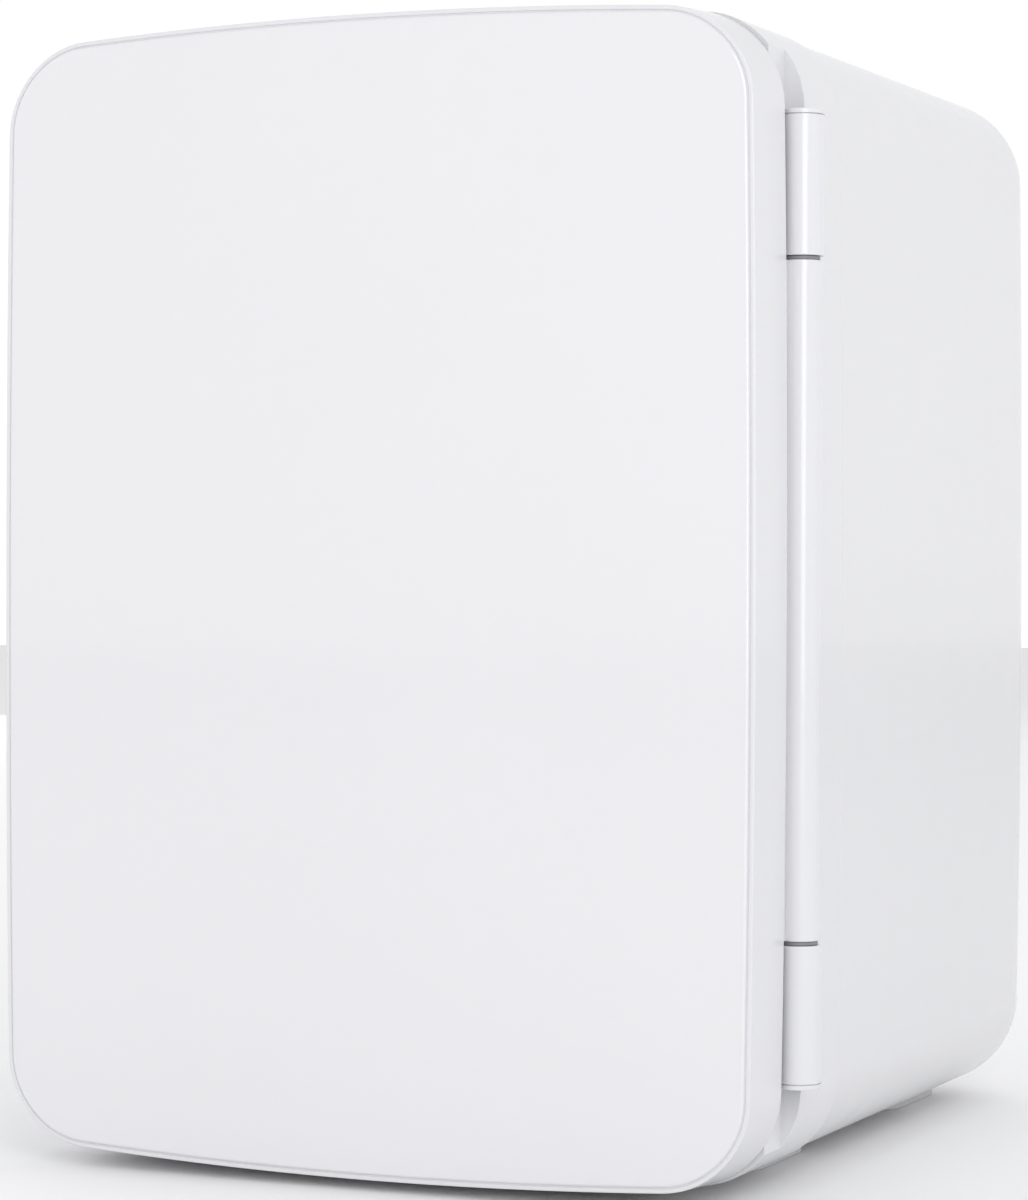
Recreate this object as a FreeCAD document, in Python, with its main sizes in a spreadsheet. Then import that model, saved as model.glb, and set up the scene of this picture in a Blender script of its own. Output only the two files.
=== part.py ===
import FreeCAD, Part
import math
import os
import Sketcher
from FreeCAD import Vector

# Thermoelectric countertop fridge. The pieces are drawn in the case's own frame: x across from
# the middle of the case, y backwards from the front of the door, z up from the floor. Each
# finished piece is then moved so that the origin is at the bottom centre of the whole object.

doc = FreeCAD.newDocument("countertop_fridge")
sheet = doc.addObject("Spreadsheet::Sheet", "dims")

DIMENSIONS = {
    # case outline: a rounded rectangle whose four sides bulge a little
    "overall_height": 340, "case_width": 243, "case_depth": 279, "foot_drop": 2,
    "crown_top": 5, "crown_side": 1.6, "corner_radius": 27, "rear_round": 26, "case_wall": 2.5,
    # front bezel and the channel that the hinge barrel stands in
    "bezel_depth": 44.5, "lap_length": 7, "lap_start": 11, "lap_wall": 1.8, "lap_gap": 0.15,
    "lap_root": 0.5, "channel_depth": 13.5, "channel_width": 7, "grip_rise": 96,
    # cabin, its liner and the insulation round it
    "side_insulation": 22.5, "end_insulation": 27, "back_space": 84, "liner_wall": 2,
    "liner_corner": 10, "liner_flange": 8, "reveal": 1, "fit_gap": 0.2, "foam_gap": 0.3,
    "foam_set": 17.5, "hot_space": 58, "strike_thick": 0.8,
    "ledge_rise": 137, "ledge_reach": 5, "ledge_thick": 3, "ledge_set": 37.5,
    # door
    "door_depth": 22.5, "door_gap": 2, "door_flare": 1.4, "panel_thick": 3, "panel_lip": 1.3,
    "panel_gap": 0.3, "panel_round": 0.8, "lip_setback": 0.6, "web_thick": 2, "door_wall": 3.2,
    "liner_set": 2.5, "liner_plate": 2.5, "plug_margin": 9, "plug_reach": 13.5, "plug_corner": 8,
    "gasket_inset": 10, "gasket_width": 8, "rest_gap": 0.3, "magnet_inset": 1.8, "magnet_thick": 2,
    # hinge
    "axis_out": 0.7, "axis_set": 6.3, "barrel_radius": 6, "end_barrel_radius": 6.5,
    "barrel_drop": 31.5, "upper_joint_drop": 73.1, "lower_joint": 74.8, "barrel_foot": 33.8,
    "joint_gap": 1.2, "washer_thick": 0.9, "washer_radius": 5.4, "pin_radius": 2.5,
    "pin_reach": 15, "running_gap": 0.05, "leaf_inset": 1.2, "pillar_reach": 5.3,
    "pillar_over": 4, "knuckle_screw_spacing": 24, "door_screw_inset": 23.45,
    # bins and their brackets, all moulded on the door liner's plug
    "bracket_thick": 5, "bracket_reach": 38, "bracket_rise": 70, "bracket_drop": 4,
    "lug_reach": 2.2, "lug_rise": 6, "lug_up": 12, "lug_length": 14, "lug_start": 14,
    "bin_wall": 2, "bin_gap": 0.5, "bin_corner": 6, "lug_gap": 0.4,
    "lower_bin_z": 50, "lower_bin_rise": 82, "upper_bin_drop": 100, "upper_bin_rise": 54,
    # shelf
    "shelf_thick": 3, "shelf_set": 18, "shelf_gap": 0.5, "shelf_lip": 6, "shelf_border": 12,
    "shelf_slot": 4, "shelf_pitch": 8,
    # cold side, stacked rearwards from the cabin's back wall
    "module_rise": 34, "hood_size": 132, "hood_reach": 24, "hood_wall": 2, "hood_corner": 10,
    "cold_fan_size": 60, "cold_fan_thick": 10, "cold_sink_width": 84, "cold_fin_rise": 12,
    "sink_base": 5, "module_size": 40, "module_thick": 3.8, "spacer_thick": 11.5,
    "module_pad_wall": 12, "sink_rise": 100, "fin_field": 80, "fin_thick": 1.2, "fin_pitch": 5,
    "clamp_side": 30, "clamp_up": 45,
    # hot side
    "hot_sink_width": 120, "hot_fin_rise": 28, "hot_fan_size": 92, "hot_fan_thick": 20,
    "fan_screw_margin": 4.75, "fan_rim": 2.5, "blade_gap": 1, "hub_share": 0.2,
    # rear cover
    "cover_margin": 8, "cover_thick": 2.5, "cover_corner": 20, "cover_round": 1,
    "opening_side": 35.5, "opening_end": 38, "opening_corner": 14, "standoff": 3.5,
    "spacer_width": 24, "spacer_rise": 6, "spacer_side": 34, "spacer_drop": 20,
    "spacer_corner": 2.9, "exhaust_slots": 13, "intake_slots": 7,
    "vent_width": 76, "vent_slot": 3.4, "vent_pitch": 6.6, "intake_z": 82, "intake_width": 110,
    # electrics
    "power_z": 50, "board_lift": 0.5, "board_width": 130, "board_rise": 50, "board_thick": 1.6,
    "board_post": 10, "post_radius": 3.2, "ac_x": -52, "dc_x": -12, "switch_x": 26,
    "cold_lamp_x": 48, "warm_lamp_x": 58, "lamp_radius": 1.5, "socket_flange": 3,
    "socket_wall": 3, "flange_thick": 2, "flange_corner": 2, "pin_recess": 6, "pin_tail": 3,
    "ac_width": 24, "ac_rise": 15, "ac_depth": 22, "ac_cavity": 15, "ac_pin_side": 4.3,
    "ac_pin_radius": 1.2, "dc_width": 19, "dc_rise": 13, "dc_depth": 18, "dc_cavity": 12,
    "dc_pin_side": 3.2, "dc_pin_radius": 1, "switch_width": 18, "switch_rise": 10,
    "switch_depth": 11, "switch_slot_depth": 7, "lever_travel": 3, "lever_width": 4,
    "lever_corner": 0.6, "coil_x": -24, "coil_width": 24, "coil_rise": 20, "coil_depth": 24,
    "core_width": 16, "core_rise": 28, "core_set": 2, "capacitor_x": 34, "capacitor_side": 9,
    "capacitor_radius": 7, "capacitor_height": 21, "terminal_height": 12, "terminal_rise": 10,
    "terminal_drop": 4, "module_terminal_width": 10, "fan_terminal_x": 16,
    "fan_terminal_width": 8, "cut_out_radius": 1.8, "cut_out_length": 24,
    "passage_depth": 10, "lead_slot_drop": 20, "lead_bend": 14, "lead_sweep": 16,
    "lead_reach": 12, "fan_lead_x": 26, "fan_lead_turn": 20, "fan_lead_set": 4,
    "fan_lead_entry": 5, "fan_lead_back": 3, "fan_lead_drop": 22, "fan_lead_lift": 19,
    # fasteners and feet
    "screw_radius": 1.5, "screw_head_radius": 2.7, "screw_head": 1.8, "screw_gap": 0.1,
    "foot_width": 16, "foot_length": 46, "foot_side": 37.5, "foot_front": 32, "foot_back": 47,
    "foot_stem_radius": 3, "foot_stem": 8.5, "lead_radius": 0.9,
}
for row, (alias, value) in enumerate(DIMENSIONS.items(), start=1):
    sheet.set(f"A{row}", alias.replace("_", " "))
    sheet.set(f"B{row}", str(value))
    sheet.setAlias(f"B{row}", alias)
doc.recompute()


class Size:
    """A length written as an expression on the spreadsheet's cells."""

    def __init__(self, text):
        self.text = str(text)

    def __str__(self):
        return self.text

    def __float__(self):
        return float(sheet.evalExpression(self.text))

    def __add__(self, other):
        return Size(f"({self} + {other})")

    def __radd__(self, other):
        return Size(f"({other} + {self})")

    def __sub__(self, other):
        return Size(f"({self} - {other})")

    def __rsub__(self, other):
        return Size(f"({other} - {self})")

    def __mul__(self, other):
        return Size(f"({self} * {other})")

    __rmul__ = __mul__

    def __truediv__(self, other):
        return Size(f"({self} / {other})")

    def __neg__(self):
        return Size(f"(0 - {self})")


class Dims:
    """dims.case_width and so on, as Size expressions."""

    def __getattr__(self, alias):
        if alias not in DIMENSIONS:
            raise AttributeError(alias)
        return Size(f"dims.{alias}")


d = Dims()

# main planes of the fridge
HALF = d.case_width / 2
CASE_FLOOR = d.foot_drop
CASE_TOP = d.overall_height
CENTRE_Z = (CASE_TOP + CASE_FLOOR) / 2
HALF_RISE = (CASE_TOP - CASE_FLOOR) / 2
TOP_CURVE = (HALF * HALF + d.crown_top * d.crown_top) / (2 * d.crown_top)
SIDE_CURVE = (HALF_RISE * HALF_RISE + d.crown_side * d.crown_side) / (2 * d.crown_side)
BEZEL_Y = d.door_depth + d.door_gap
SHELL_Y = BEZEL_Y + d.bezel_depth
AXIS_X = HALF + d.axis_out
AXIS_Y = BEZEL_Y + d.axis_set
CABIN_X = HALF - d.side_insulation
CABIN_Z = (CASE_FLOOR + d.end_insulation, CASE_TOP - d.end_insulation)
BACK_Y = d.case_depth
CABIN_BACK = BACK_Y - d.back_space
FOAM_Y = (BEZEL_Y + d.foam_set, BACK_Y - d.hot_space)
MODULE_MID = CENTRE_Z + d.module_rise
COVER_Y = BACK_Y + d.cover_thick
OVERALL_DEPTH = COVER_Y + d.standoff
ORIGIN_X = (AXIS_X + d.end_barrel_radius - HALF) / 2
ORIGIN_Y = OVERALL_DEPTH / 2

ALONG = {"x": FreeCAD.Rotation(Vector(0, 1, 0), 90), "y": FreeCAD.Rotation(Vector(1, 0, 0), -90),
         "z": FreeCAD.Rotation()}
drawn_at = {}
finished = []


# --- shapes -----------------------------------------------------------------------------

def place(piece, x, y, z):
    """Binds a piece's position to expressions and remembers them."""
    for axis, size in zip("xyz", (x, y, z)):
        piece.setExpression(f"Placement.Base.{axis}", str(size))
    drawn_at[piece.Name] = (x, y, z)
    return piece


def block(name, x, y, z):
    """A box from its three spans."""
    piece = doc.addObject("Part::Box", name)
    for side, span in (("Length", x), ("Width", y), ("Height", z)):
        piece.setExpression(side, str(Size(span[1]) - Size(span[0])))
    return place(piece, x[0], y[0], z[0])


def rod(name, axis, radius, span, centre):
    """A cylinder along x, y or z. centre holds its two other coordinates."""
    piece = doc.addObject("Part::Cylinder", name)
    piece.setExpression("Radius", str(radius))
    piece.setExpression("Height", str(Size(span[1]) - Size(span[0])))
    piece.Placement = FreeCAD.Placement(Vector(), ALONG[axis])
    where = list(centre)
    where.insert("xyz".index(axis), span[0])
    return place(piece, *where)


def join(name, *pieces):
    fused = doc.addObject("Part::MultiFuse", name)
    fused.Shapes = list(pieces)
    return fused


def cut(name, base, *tools):
    """base less every tool."""
    piece = doc.addObject("Part::Cut", name)
    piece.Base = base
    piece.Tool = tools[0] if len(tools) == 1 else join(name + "_tools", *tools)
    return piece


def shared(name, one, other):
    piece = doc.addObject("Part::Common", name)
    piece.Base = one
    piece.Tool = other
    return piece


def group(name, pieces):
    piece = doc.addObject("Part::Compound", name)
    piece.Links = list(pieces)
    return piece


def finish(piece, label):
    """Names a sub-part and moves it into the object's frame."""
    x, y, z = drawn_at.get(piece.Name, (0, 0, 0))
    place(piece, Size(x) - ORIGIN_X, Size(y) - ORIGIN_Y, z)
    piece.Label = label
    finished.append(piece)
    return piece


def new_sketch(body, name, role):
    plane = [item for item in body.Origin.OriginFeatures if item.Role == role][0]
    sketch = body.newObject("Sketcher::SketchObject", name)
    sketch.AttachmentSupport = (plane, [""])
    sketch.MapMode = "FlatFace"
    return sketch


def bind(sketch, kind, *geometry_and_size):
    """Adds a dimension to a sketch and binds it to an expression."""
    *geometry, size = geometry_and_size
    index = sketch.addConstraint(Sketcher.Constraint(kind, *geometry, float(Size(size))))
    sketch.setExpression(f"Constraints[{index}]", str(size))


def close_loop(sketch, count):
    for i in range(count):
        sketch.addConstraint(Sketcher.Constraint("Tangent", i, 2, (i + 1) % count, 1))


def draw_outline(sketch, inset):
    """The case's bulging outline, stepped in by inset: four long arcs and four corner arcs."""
    top, side, corner = float(TOP_CURVE), float(SIDE_CURVE), float(d.corner_radius)
    shrink = float(Size(inset))
    top_z = float(HALF_RISE) - top
    side_x = float(HALF) - side
    # the corner arc's centre lies where it meets both long arcs without a kink
    reach_top, reach_side = top - corner, side - corner
    x, z = float(HALF) - corner, float(HALF_RISE) - corner
    for _ in range(60):
        z = top_z + math.sqrt(reach_top ** 2 - x ** 2)
        x = side_x + math.sqrt(reach_side ** 2 - z ** 2)
    lean_side = math.atan2(z, x - side_x)
    lean_top = math.atan2(z - top_z, x)
    turn = math.pi
    arcs = (((side_x, 0), side, -lean_side, lean_side),
            ((x, z), corner, lean_side, lean_top),
            ((0, top_z), top, lean_top, turn - lean_top),
            ((-x, z), corner, turn - lean_top, turn - lean_side),
            ((-side_x, 0), side, turn - lean_side, turn + lean_side),
            ((-x, -z), corner, turn + lean_side, turn + lean_top),
            ((0, -top_z), top, turn + lean_top, 2 * turn - lean_top),
            ((x, -z), corner, 2 * turn - lean_top, 2 * turn - lean_side))
    for centre, radius, start, end in arcs:
        circle = Part.Circle(Vector(*centre, 0), Vector(0, 0, 1), radius - shrink)
        sketch.addGeometry(Part.ArcOfCircle(circle, start, end), False)
    close_loop(sketch, len(arcs))
    sizes = (SIDE_CURVE, d.corner_radius, TOP_CURVE, d.corner_radius) * 2
    for i, size in enumerate(sizes):
        bind(sketch, "Radius", i, size - inset)
    across, up = HALF - SIDE_CURVE, HALF_RISE - TOP_CURVE
    for i, x_size, z_size in ((0, across, 0), (2, 0, up), (4, -across, 0), (6, 0, -up)):
        for kind, size in (("DistanceX", x_size), ("DistanceY", z_size)):
            if isinstance(size, Size):
                bind(sketch, kind, -1, 1, i, 3, size)
            else:
                axis = -2 if kind == "DistanceX" else -1
                sketch.addConstraint(Sketcher.Constraint("PointOnObject", i, 3, axis))


def draw_rounded(sketch, width, rise, radius):
    """A rectangle with round corners, centred on the sketch's origin."""
    w, h, r = (float(Size(size)) for size in (width, rise, radius))
    w, h = w / 2, h / 2
    quarter = math.pi / 2
    sides = (((w, r - h), (w, h - r)), ((w - r, h), (r - w, h)),
             ((-w, h - r), (-w, r - h)), ((r - w, -h), (w - r, -h)))
    corners = ((w - r, h - r), (r - w, h - r), (r - w, r - h), (w - r, r - h))
    for i, ((start, end), centre) in enumerate(zip(sides, corners)):
        sketch.addGeometry(Part.LineSegment(Vector(*start, 0), Vector(*end, 0)), False)
        circle = Part.Circle(Vector(*centre, 0), Vector(0, 0, 1), r)
        sketch.addGeometry(Part.ArcOfCircle(circle, i * quarter, (i + 1) * quarter), False)
        sketch.addConstraint(Sketcher.Constraint("Horizontal" if i % 2 else "Vertical", 2 * i))
    close_loop(sketch, 8)
    for i in (1, 3, 5, 7):
        bind(sketch, "Radius", i, radius)
    across, up = Size(width) / 2 - radius, Size(rise) / 2 - radius
    for i, x_size, z_size in ((1, across, up), (5, -across, -up)):
        bind(sketch, "DistanceX", -1, 1, i, 3, x_size)
        bind(sketch, "DistanceY", -1, 1, i, 3, z_size)


def pad(body, sketch, length, reverse=False):
    feature = body.newObject("PartDesign::Pad", sketch.Name + "_pad")
    feature.Profile = sketch
    feature.setExpression("Length", str(length))
    feature.Reversed = reverse
    sketch.Visibility = False
    return feature


def outline_block(name, inset, y, taper=None):
    """A solid of the case's outline, stepped in by inset, between two depths."""
    body = doc.addObject("PartDesign::Body", name)
    sketch = new_sketch(body, name + "_outline", "XZ_Plane")
    draw_outline(sketch, inset)
    feature = pad(body, sketch, Size(y[1]) - Size(y[0]), reverse=True)
    if taper is not None:
        feature.setExpression("TaperAngle", str(taper))
    return place(body, 0, y[0], CENTRE_Z)


def rounded_block(name, axis, x, y, z, radius):
    """A box whose four edges along one axis are round."""
    spans = {"x": x, "y": y, "z": z}
    roles = {"x": ("YZ_Plane", "yz"), "y": ("XZ_Plane", "xz"), "z": ("XY_Plane", "xy")}
    role, (across, up) = roles[axis]
    length = {key: Size(span[1]) - Size(span[0]) for key, span in spans.items()}
    body = doc.addObject("PartDesign::Body", name)
    sketch = new_sketch(body, name + "_outline", role)
    draw_rounded(sketch, length[across], length[up], radius)
    pad(body, sketch, length[axis], reverse=(axis == "y"))
    middle = {key: (Size(span[0]) + Size(span[1])) / 2 for key, span in spans.items()}
    middle[axis] = spans[axis][0]
    return place(body, middle["x"], middle["y"], middle["z"])


def round_edges(body, radius, rear=True):
    """Rounds the edges that bound a block's rear or front face."""
    doc.recompute()
    base = body.Tip
    limits = base.Shape.BoundBox
    names = [f"Edge{i}" for i, edge in enumerate(base.Shape.Edges, start=1)
             if (edge.BoundBox.YMin > limits.YMax - 0.01 if rear else
                 edge.BoundBox.YMax < limits.YMin + 0.01)]
    feature = body.newObject("PartDesign::Fillet", body.Name + "_round")
    feature.Base = (base, names)
    feature.setExpression("Radius", str(radius))
    body.Tip = feature
    return body


def screw(name, axis, tip, head, centre, radius=None, flip=False):
    """A pan-head screw. Its shank runs from tip to head, and its head goes on beyond."""
    radius = d.screw_radius if radius is None else radius
    low, high = (head, tip) if flip else (tip, head)
    shank = rod(name + "_shank", axis, radius, (low, high), centre)
    cap_span = (Size(head) - d.screw_head, head) if flip else (head, Size(head) + d.screw_head)
    cap = rod(name + "_cap", axis, d.screw_head_radius, cap_span, centre)
    return join(name, shank, cap)


def plate_slots(body, name, width, rise, low, pitch, count):
    """A ladder of round-ended slots through a body that was padded along y."""
    doc.recompute()
    whole = body.Shape.Volume
    sketch = new_sketch(body, name + "_slot", "XZ_Plane")
    draw_rounded(sketch, width, rise, Size(rise) * 0.49)
    sketch.setExpression("AttachmentOffset.Base.y", str(low))
    pocket = body.newObject("PartDesign::Pocket", name + "_pocket")
    pocket.Profile = sketch
    pocket.Type = "ThroughAll"
    pattern = body.newObject("PartDesign::LinearPattern", name + "_ladder")
    pattern.Originals = [pocket]
    pattern.Direction = (sketch, ["V_Axis"])
    pattern.setExpression("Length", str(pitch * (count - 1)))
    pattern.Occurrences = count
    body.Tip = pattern
    doc.recompute()
    assert body.Shape.Volume < whole - 1, f"{name} cut nothing"


def mirrored_pair(make, name, low, high):
    """Makes a piece at +x and its twin at -x from one x span."""
    return [make(name + "_left", (-Size(high), -Size(low))), make(name + "_right", (low, high))]


# --- case -------------------------------------------------------------------------------

CABIN_MID_Z = (CABIN_Z[0] + CABIN_Z[1]) / 2
FEET = [(side * (HALF - d.foot_side), y)
        for y in (SHELL_Y + d.foot_front, BACK_Y - d.foot_back) for side in (-1, 1)]
COVER_SCREW_SHARE = 0.8
FOOT_NAMES = ("foot_front_left", "foot_front_right", "foot_rear_left", "foot_rear_right")
OPENING_X, OPENING_RISE = HALF - d.opening_side, HALF_RISE - d.opening_end
COVER_SCREWS = [(x * (OPENING_X + d.cover_margin / 2), CENTRE_Z + z * OPENING_RISE)
                for x in (-1, 1) for z in (-COVER_SCREW_SHARE, 0, COVER_SCREW_SHARE)]

# outer shell: a moulded sleeve with a round rear rim, open at the front and at the back
case_outer = outline_block("case_outer", 0, (SHELL_Y, BACK_Y))
round_edges(case_outer, d.rear_round)
case_inner = outline_block("case_inner", d.case_wall, (SHELL_Y - 1, BACK_Y - d.case_wall))
round_edges(case_inner, d.rear_round - d.case_wall)
rear_opening = rounded_block(
    "rear_opening", "y", (-OPENING_X, OPENING_X), (BACK_Y - 2 * d.case_wall, BACK_Y + 1),
    (CENTRE_Z - OPENING_RISE, CENTRE_Z + OPENING_RISE), d.opening_corner)
shell_holes = [rod(f"stem_hole_{i}", "z", d.foot_stem_radius + d.screw_gap,
                   (0, CASE_FLOOR + 2 * d.foot_stem), centre)
               for i, centre in enumerate(FEET)]
shell_holes += [rod(f"cover_pilot_{i}", "y", d.screw_radius, (BACK_Y - 6, BACK_Y + 1), centre)
                for i, centre in enumerate(COVER_SCREWS)]
finish(cut("sleeve", case_outer, case_inner, rear_opening, *shell_holes), "outer_shell")

# front bezel: face frame, side band and the lap that plugs into the shell
CHANNEL_X = HALF - d.channel_width
CHANNEL_Y = (BEZEL_Y, BEZEL_Y + d.channel_depth)
CHANNEL_WALL_X = CHANNEL_X - d.case_wall
GRIP_Z = (CENTRE_Z - d.grip_rise / 2, CENTRE_Z + d.grip_rise / 2)
bezel_outer = outline_block("bezel_outer", 0, (BEZEL_Y, SHELL_Y))
bezel_hollow = outline_block("bezel_hollow", d.case_wall, (BEZEL_Y + d.case_wall, SHELL_Y + 1))
channel_wall = block("channel_wall", (CHANNEL_WALL_X, HALF + 1),
                     (BEZEL_Y, CHANNEL_Y[1] + d.case_wall), (0, CASE_TOP + 1))
grip_wall = block("grip_wall", (-HALF - 1, -CHANNEL_WALL_X), (BEZEL_Y, CHANNEL_Y[1] + d.case_wall),
                  (GRIP_Z[0] - d.case_wall, GRIP_Z[1] + d.case_wall))
bezel_inside = cut("bezel_inside", bezel_hollow, channel_wall, grip_wall)
channel = block("channel", (CHANNEL_X, HALF + 5), (BEZEL_Y - 1, CHANNEL_Y[1]), (0, CASE_TOP + 1))
grip_recess = block("grip_recess", (-HALF - 5, -CHANNEL_X), (BEZEL_Y - 1, CHANNEL_Y[1]), GRIP_Z)
cabin_mouth = rounded_block("cabin_mouth", "y", (d.reveal - CABIN_X, CABIN_X - d.reveal),
                            (BEZEL_Y - 1, BEZEL_Y + 2 * d.case_wall),
                            (CABIN_Z[0] + d.reveal, CABIN_Z[1] - d.reveal),
                            d.liner_corner - d.reveal)
UPPER_JOINT = CASE_TOP - d.upper_joint_drop
KNUCKLES = {"top_knuckle": (UPPER_JOINT + d.joint_gap / 2, CASE_TOP - d.barrel_drop),
            "bottom_knuckle": (d.barrel_foot, d.lower_joint - d.joint_gap / 2)}
LEAF_Y = (AXIS_Y, CHANNEL_Y[1] - d.screw_gap)
LEAF_X = (CHANNEL_X + d.fit_gap, HALF - d.leaf_inset)
KNUCKLE_SCREWS = [((AXIS_Y + CHANNEL_Y[1]) / 2, (span[0] + span[1]) / 2 + side * d.knuckle_screw_spacing / 2)
                  for span in KNUCKLES.values() for side in (-1, 1)]
bezel_holes = [rod(f"knuckle_hole_{i}", "x", d.screw_radius + d.screw_gap,
                   (CHANNEL_WALL_X - 1, CHANNEL_X + 1), centre)
               for i, centre in enumerate(KNUCKLE_SCREWS)]
face_frame = cut("face_frame", bezel_outer, bezel_inside, channel, grip_recess, cabin_mouth,
                 *bezel_holes)
lap_front = SHELL_Y - d.lap_start
lap_root = outline_block("lap_root", d.case_wall - d.lap_root, (lap_front, SHELL_Y))
lap_tongue = outline_block("lap_tongue", d.case_wall + d.lap_gap, (lap_front, SHELL_Y + d.lap_length))
LAP_INNER = d.case_wall + d.lap_gap + d.lap_wall
lap_hollow = outline_block("lap_hollow", LAP_INNER, (lap_front - 1, SHELL_Y + d.lap_length + 1))
lap = cut("lap", join("lap_solid", lap_root, lap_tongue), lap_hollow)
finish(join("bezel", face_frame, lap), "front_bezel")

# steel strip behind the bezel's face, which the magnetic gasket pulls on
STRIKE_Y = (BEZEL_Y + d.case_wall, BEZEL_Y + d.case_wall + d.strike_thick)
strike_outer = outline_block("strike_outer", HALF - CHANNEL_WALL_X + d.foam_gap, STRIKE_Y)
strike_mouth = rounded_block("strike_mouth", "y", (-CABIN_X, CABIN_X),
                             (STRIKE_Y[0] - 1, STRIKE_Y[1] + 1), CABIN_Z, d.liner_corner)
finish(cut("strike", strike_outer, strike_mouth), "strike_frame")

# cabin liner: one thin tub with a flange, a hole for the cold sink and two shelf ledges
LINER_Y = (STRIKE_Y[1], CABIN_BACK)
FLANGE = d.liner_wall + d.liner_flange
MODULE_TOP = MODULE_MID + d.sink_rise / 2
MODULE_FOOT = MODULE_MID - d.sink_rise / 2
LEDGE_Z = CABIN_Z[0] + d.ledge_rise
tub_outer = rounded_block("tub_outer", "y", (-CABIN_X - d.liner_wall, CABIN_X + d.liner_wall),
                          (LINER_Y[0], LINER_Y[1] + d.liner_wall),
                          (CABIN_Z[0] - d.liner_wall, CABIN_Z[1] + d.liner_wall),
                          d.liner_corner + d.liner_wall)
tub_flange = rounded_block("tub_flange", "y", (-CABIN_X - FLANGE, CABIN_X + FLANGE),
                           (LINER_Y[0], LINER_Y[0] + d.liner_wall),
                           (CABIN_Z[0] - FLANGE, CABIN_Z[1] + FLANGE), d.liner_corner + FLANGE)
tub_hollow = rounded_block("tub_hollow", "y", (-CABIN_X, CABIN_X), (LINER_Y[0] - 1, LINER_Y[1]),
                           CABIN_Z, d.liner_corner)
sink_window = block("sink_window", (-d.cold_sink_width / 2 - d.fit_gap, d.cold_sink_width / 2 + d.fit_gap),
                    (LINER_Y[1] - 1, LINER_Y[1] + 2 * d.liner_wall),
                    (MODULE_FOOT - d.fit_gap, MODULE_TOP + d.fit_gap))
HOOD_Y = (CABIN_BACK - d.hood_reach, CABIN_BACK)
HOOD_SCREWS = [(x * (d.hood_size / 2 - d.hood_corner), MODULE_MID + z * (d.hood_size / 2 - d.hood_corner))
               for x in (-1, 1) for z in (-1, 1)]
hood_pilots = [rod(f"hood_pilot_{i}", "y", d.screw_radius, (LINER_Y[1] - 1, LINER_Y[1] + 8), centre)
               for i, centre in enumerate(HOOD_SCREWS)]


def ledge(name, x):
    return block(name, x, (BEZEL_Y + d.ledge_set, HOOD_Y[0] - 2), (LEDGE_Z - d.ledge_thick, LEDGE_Z))


tub = cut("tub", join("tub_solid", tub_outer, tub_flange), tub_hollow, sink_window, *hood_pilots)
ledges = mirrored_pair(ledge, "ledge", CABIN_X - d.ledge_reach, CABIN_X + d.liner_wall / 2)
finish(join("liner", tub, *ledges), "cabin_liner")

# insulation: one foam block round the tub, with room for the cooling stack
COLD_BASE_Y = (FOAM_Y[1] - d.module_thick - d.spacer_thick - d.sink_base,
               FOAM_Y[1] - d.module_thick - d.spacer_thick)
PAD_SIDE = d.module_size / 2 + d.module_pad_wall
CLAMPS = [(x * d.clamp_side, MODULE_MID + z * d.clamp_up) for x in (-1, 1) for z in (-1, 1)]
foam_outer = outline_block("foam_outer", LAP_INNER + d.foam_gap, FOAM_Y)
foam_tub = rounded_block(
    "foam_tub", "y", (-CABIN_X - d.liner_wall - d.foam_gap, CABIN_X + d.liner_wall + d.foam_gap),
    (FOAM_Y[0] - 1, LINER_Y[1] + d.liner_wall + d.foam_gap),
    (CABIN_Z[0] - d.liner_wall - d.foam_gap, CABIN_Z[1] + d.liner_wall + d.foam_gap),
    d.liner_corner + d.liner_wall + d.foam_gap)
foam_sink = block("foam_sink", (-d.cold_sink_width / 2 - d.foam_gap, d.cold_sink_width / 2 + d.foam_gap),
                  (CABIN_BACK, COLD_BASE_Y[1]), (MODULE_FOOT - d.foam_gap, MODULE_TOP + d.foam_gap))
foam_stack = block("foam_stack", (-PAD_SIDE - d.foam_gap, PAD_SIDE + d.foam_gap),
                   (CABIN_BACK, FOAM_Y[1] + 1),
                   (MODULE_MID - PAD_SIDE - d.foam_gap, MODULE_MID + PAD_SIDE + d.foam_gap))
foam_holes = [rod(f"clamp_passage_{i}", "y", 2 * d.screw_radius, (CABIN_BACK, FOAM_Y[1] + 1), centre)
              for i, centre in enumerate(CLAMPS)]
foam_holes += [rod(f"hood_passage_{i}", "y", 2 * d.screw_radius,
                   (CABIN_BACK, CABIN_BACK + d.passage_depth), centre)
               for i, centre in enumerate(HOOD_SCREWS)]
LEAD_SLOT_X = (-4 * d.lead_radius, 4 * d.lead_radius)
LEAD_SLOT_Z = (MODULE_FOOT - d.lead_slot_drop, MODULE_MID)
LEAD_SLOT_Y = (FOAM_Y[1] - 4 * d.lead_radius, FOAM_Y[1] + 1)
foam_slot = block("foam_slot", LEAD_SLOT_X, LEAD_SLOT_Y, LEAD_SLOT_Z)
finish(cut("insulation", foam_outer, foam_tub, foam_sink, foam_stack, foam_slot, *foam_holes),
       "cabin_foam")

# feet: oblong rubber pads whose tops follow the bulging floor, each on a stem
foot_floor = outline_block("foot_floor", 0, (SHELL_Y, BACK_Y))
stem_stop = outline_block("stem_stop", LAP_INNER, (SHELL_Y, BACK_Y))
for name, (x, y) in zip(FOOT_NAMES, FEET):
    sole = rounded_block(name + "_sole", "z", (x - d.foot_width / 2, x + d.foot_width / 2),
                         (y - d.foot_length / 2, y + d.foot_length / 2), (0, 2 * d.crown_top),
                         d.foot_width * 0.45)
    stem = rod(name + "_stem", "z", d.foot_stem_radius, (1, d.foot_stem), (x, y))
    finish(join(name + "_body", cut(name + "_pad", sole, foot_floor),
                cut(name + "_plug", stem, stem_stop)), name)

# --- hinge ------------------------------------------------------------------------------

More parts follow.
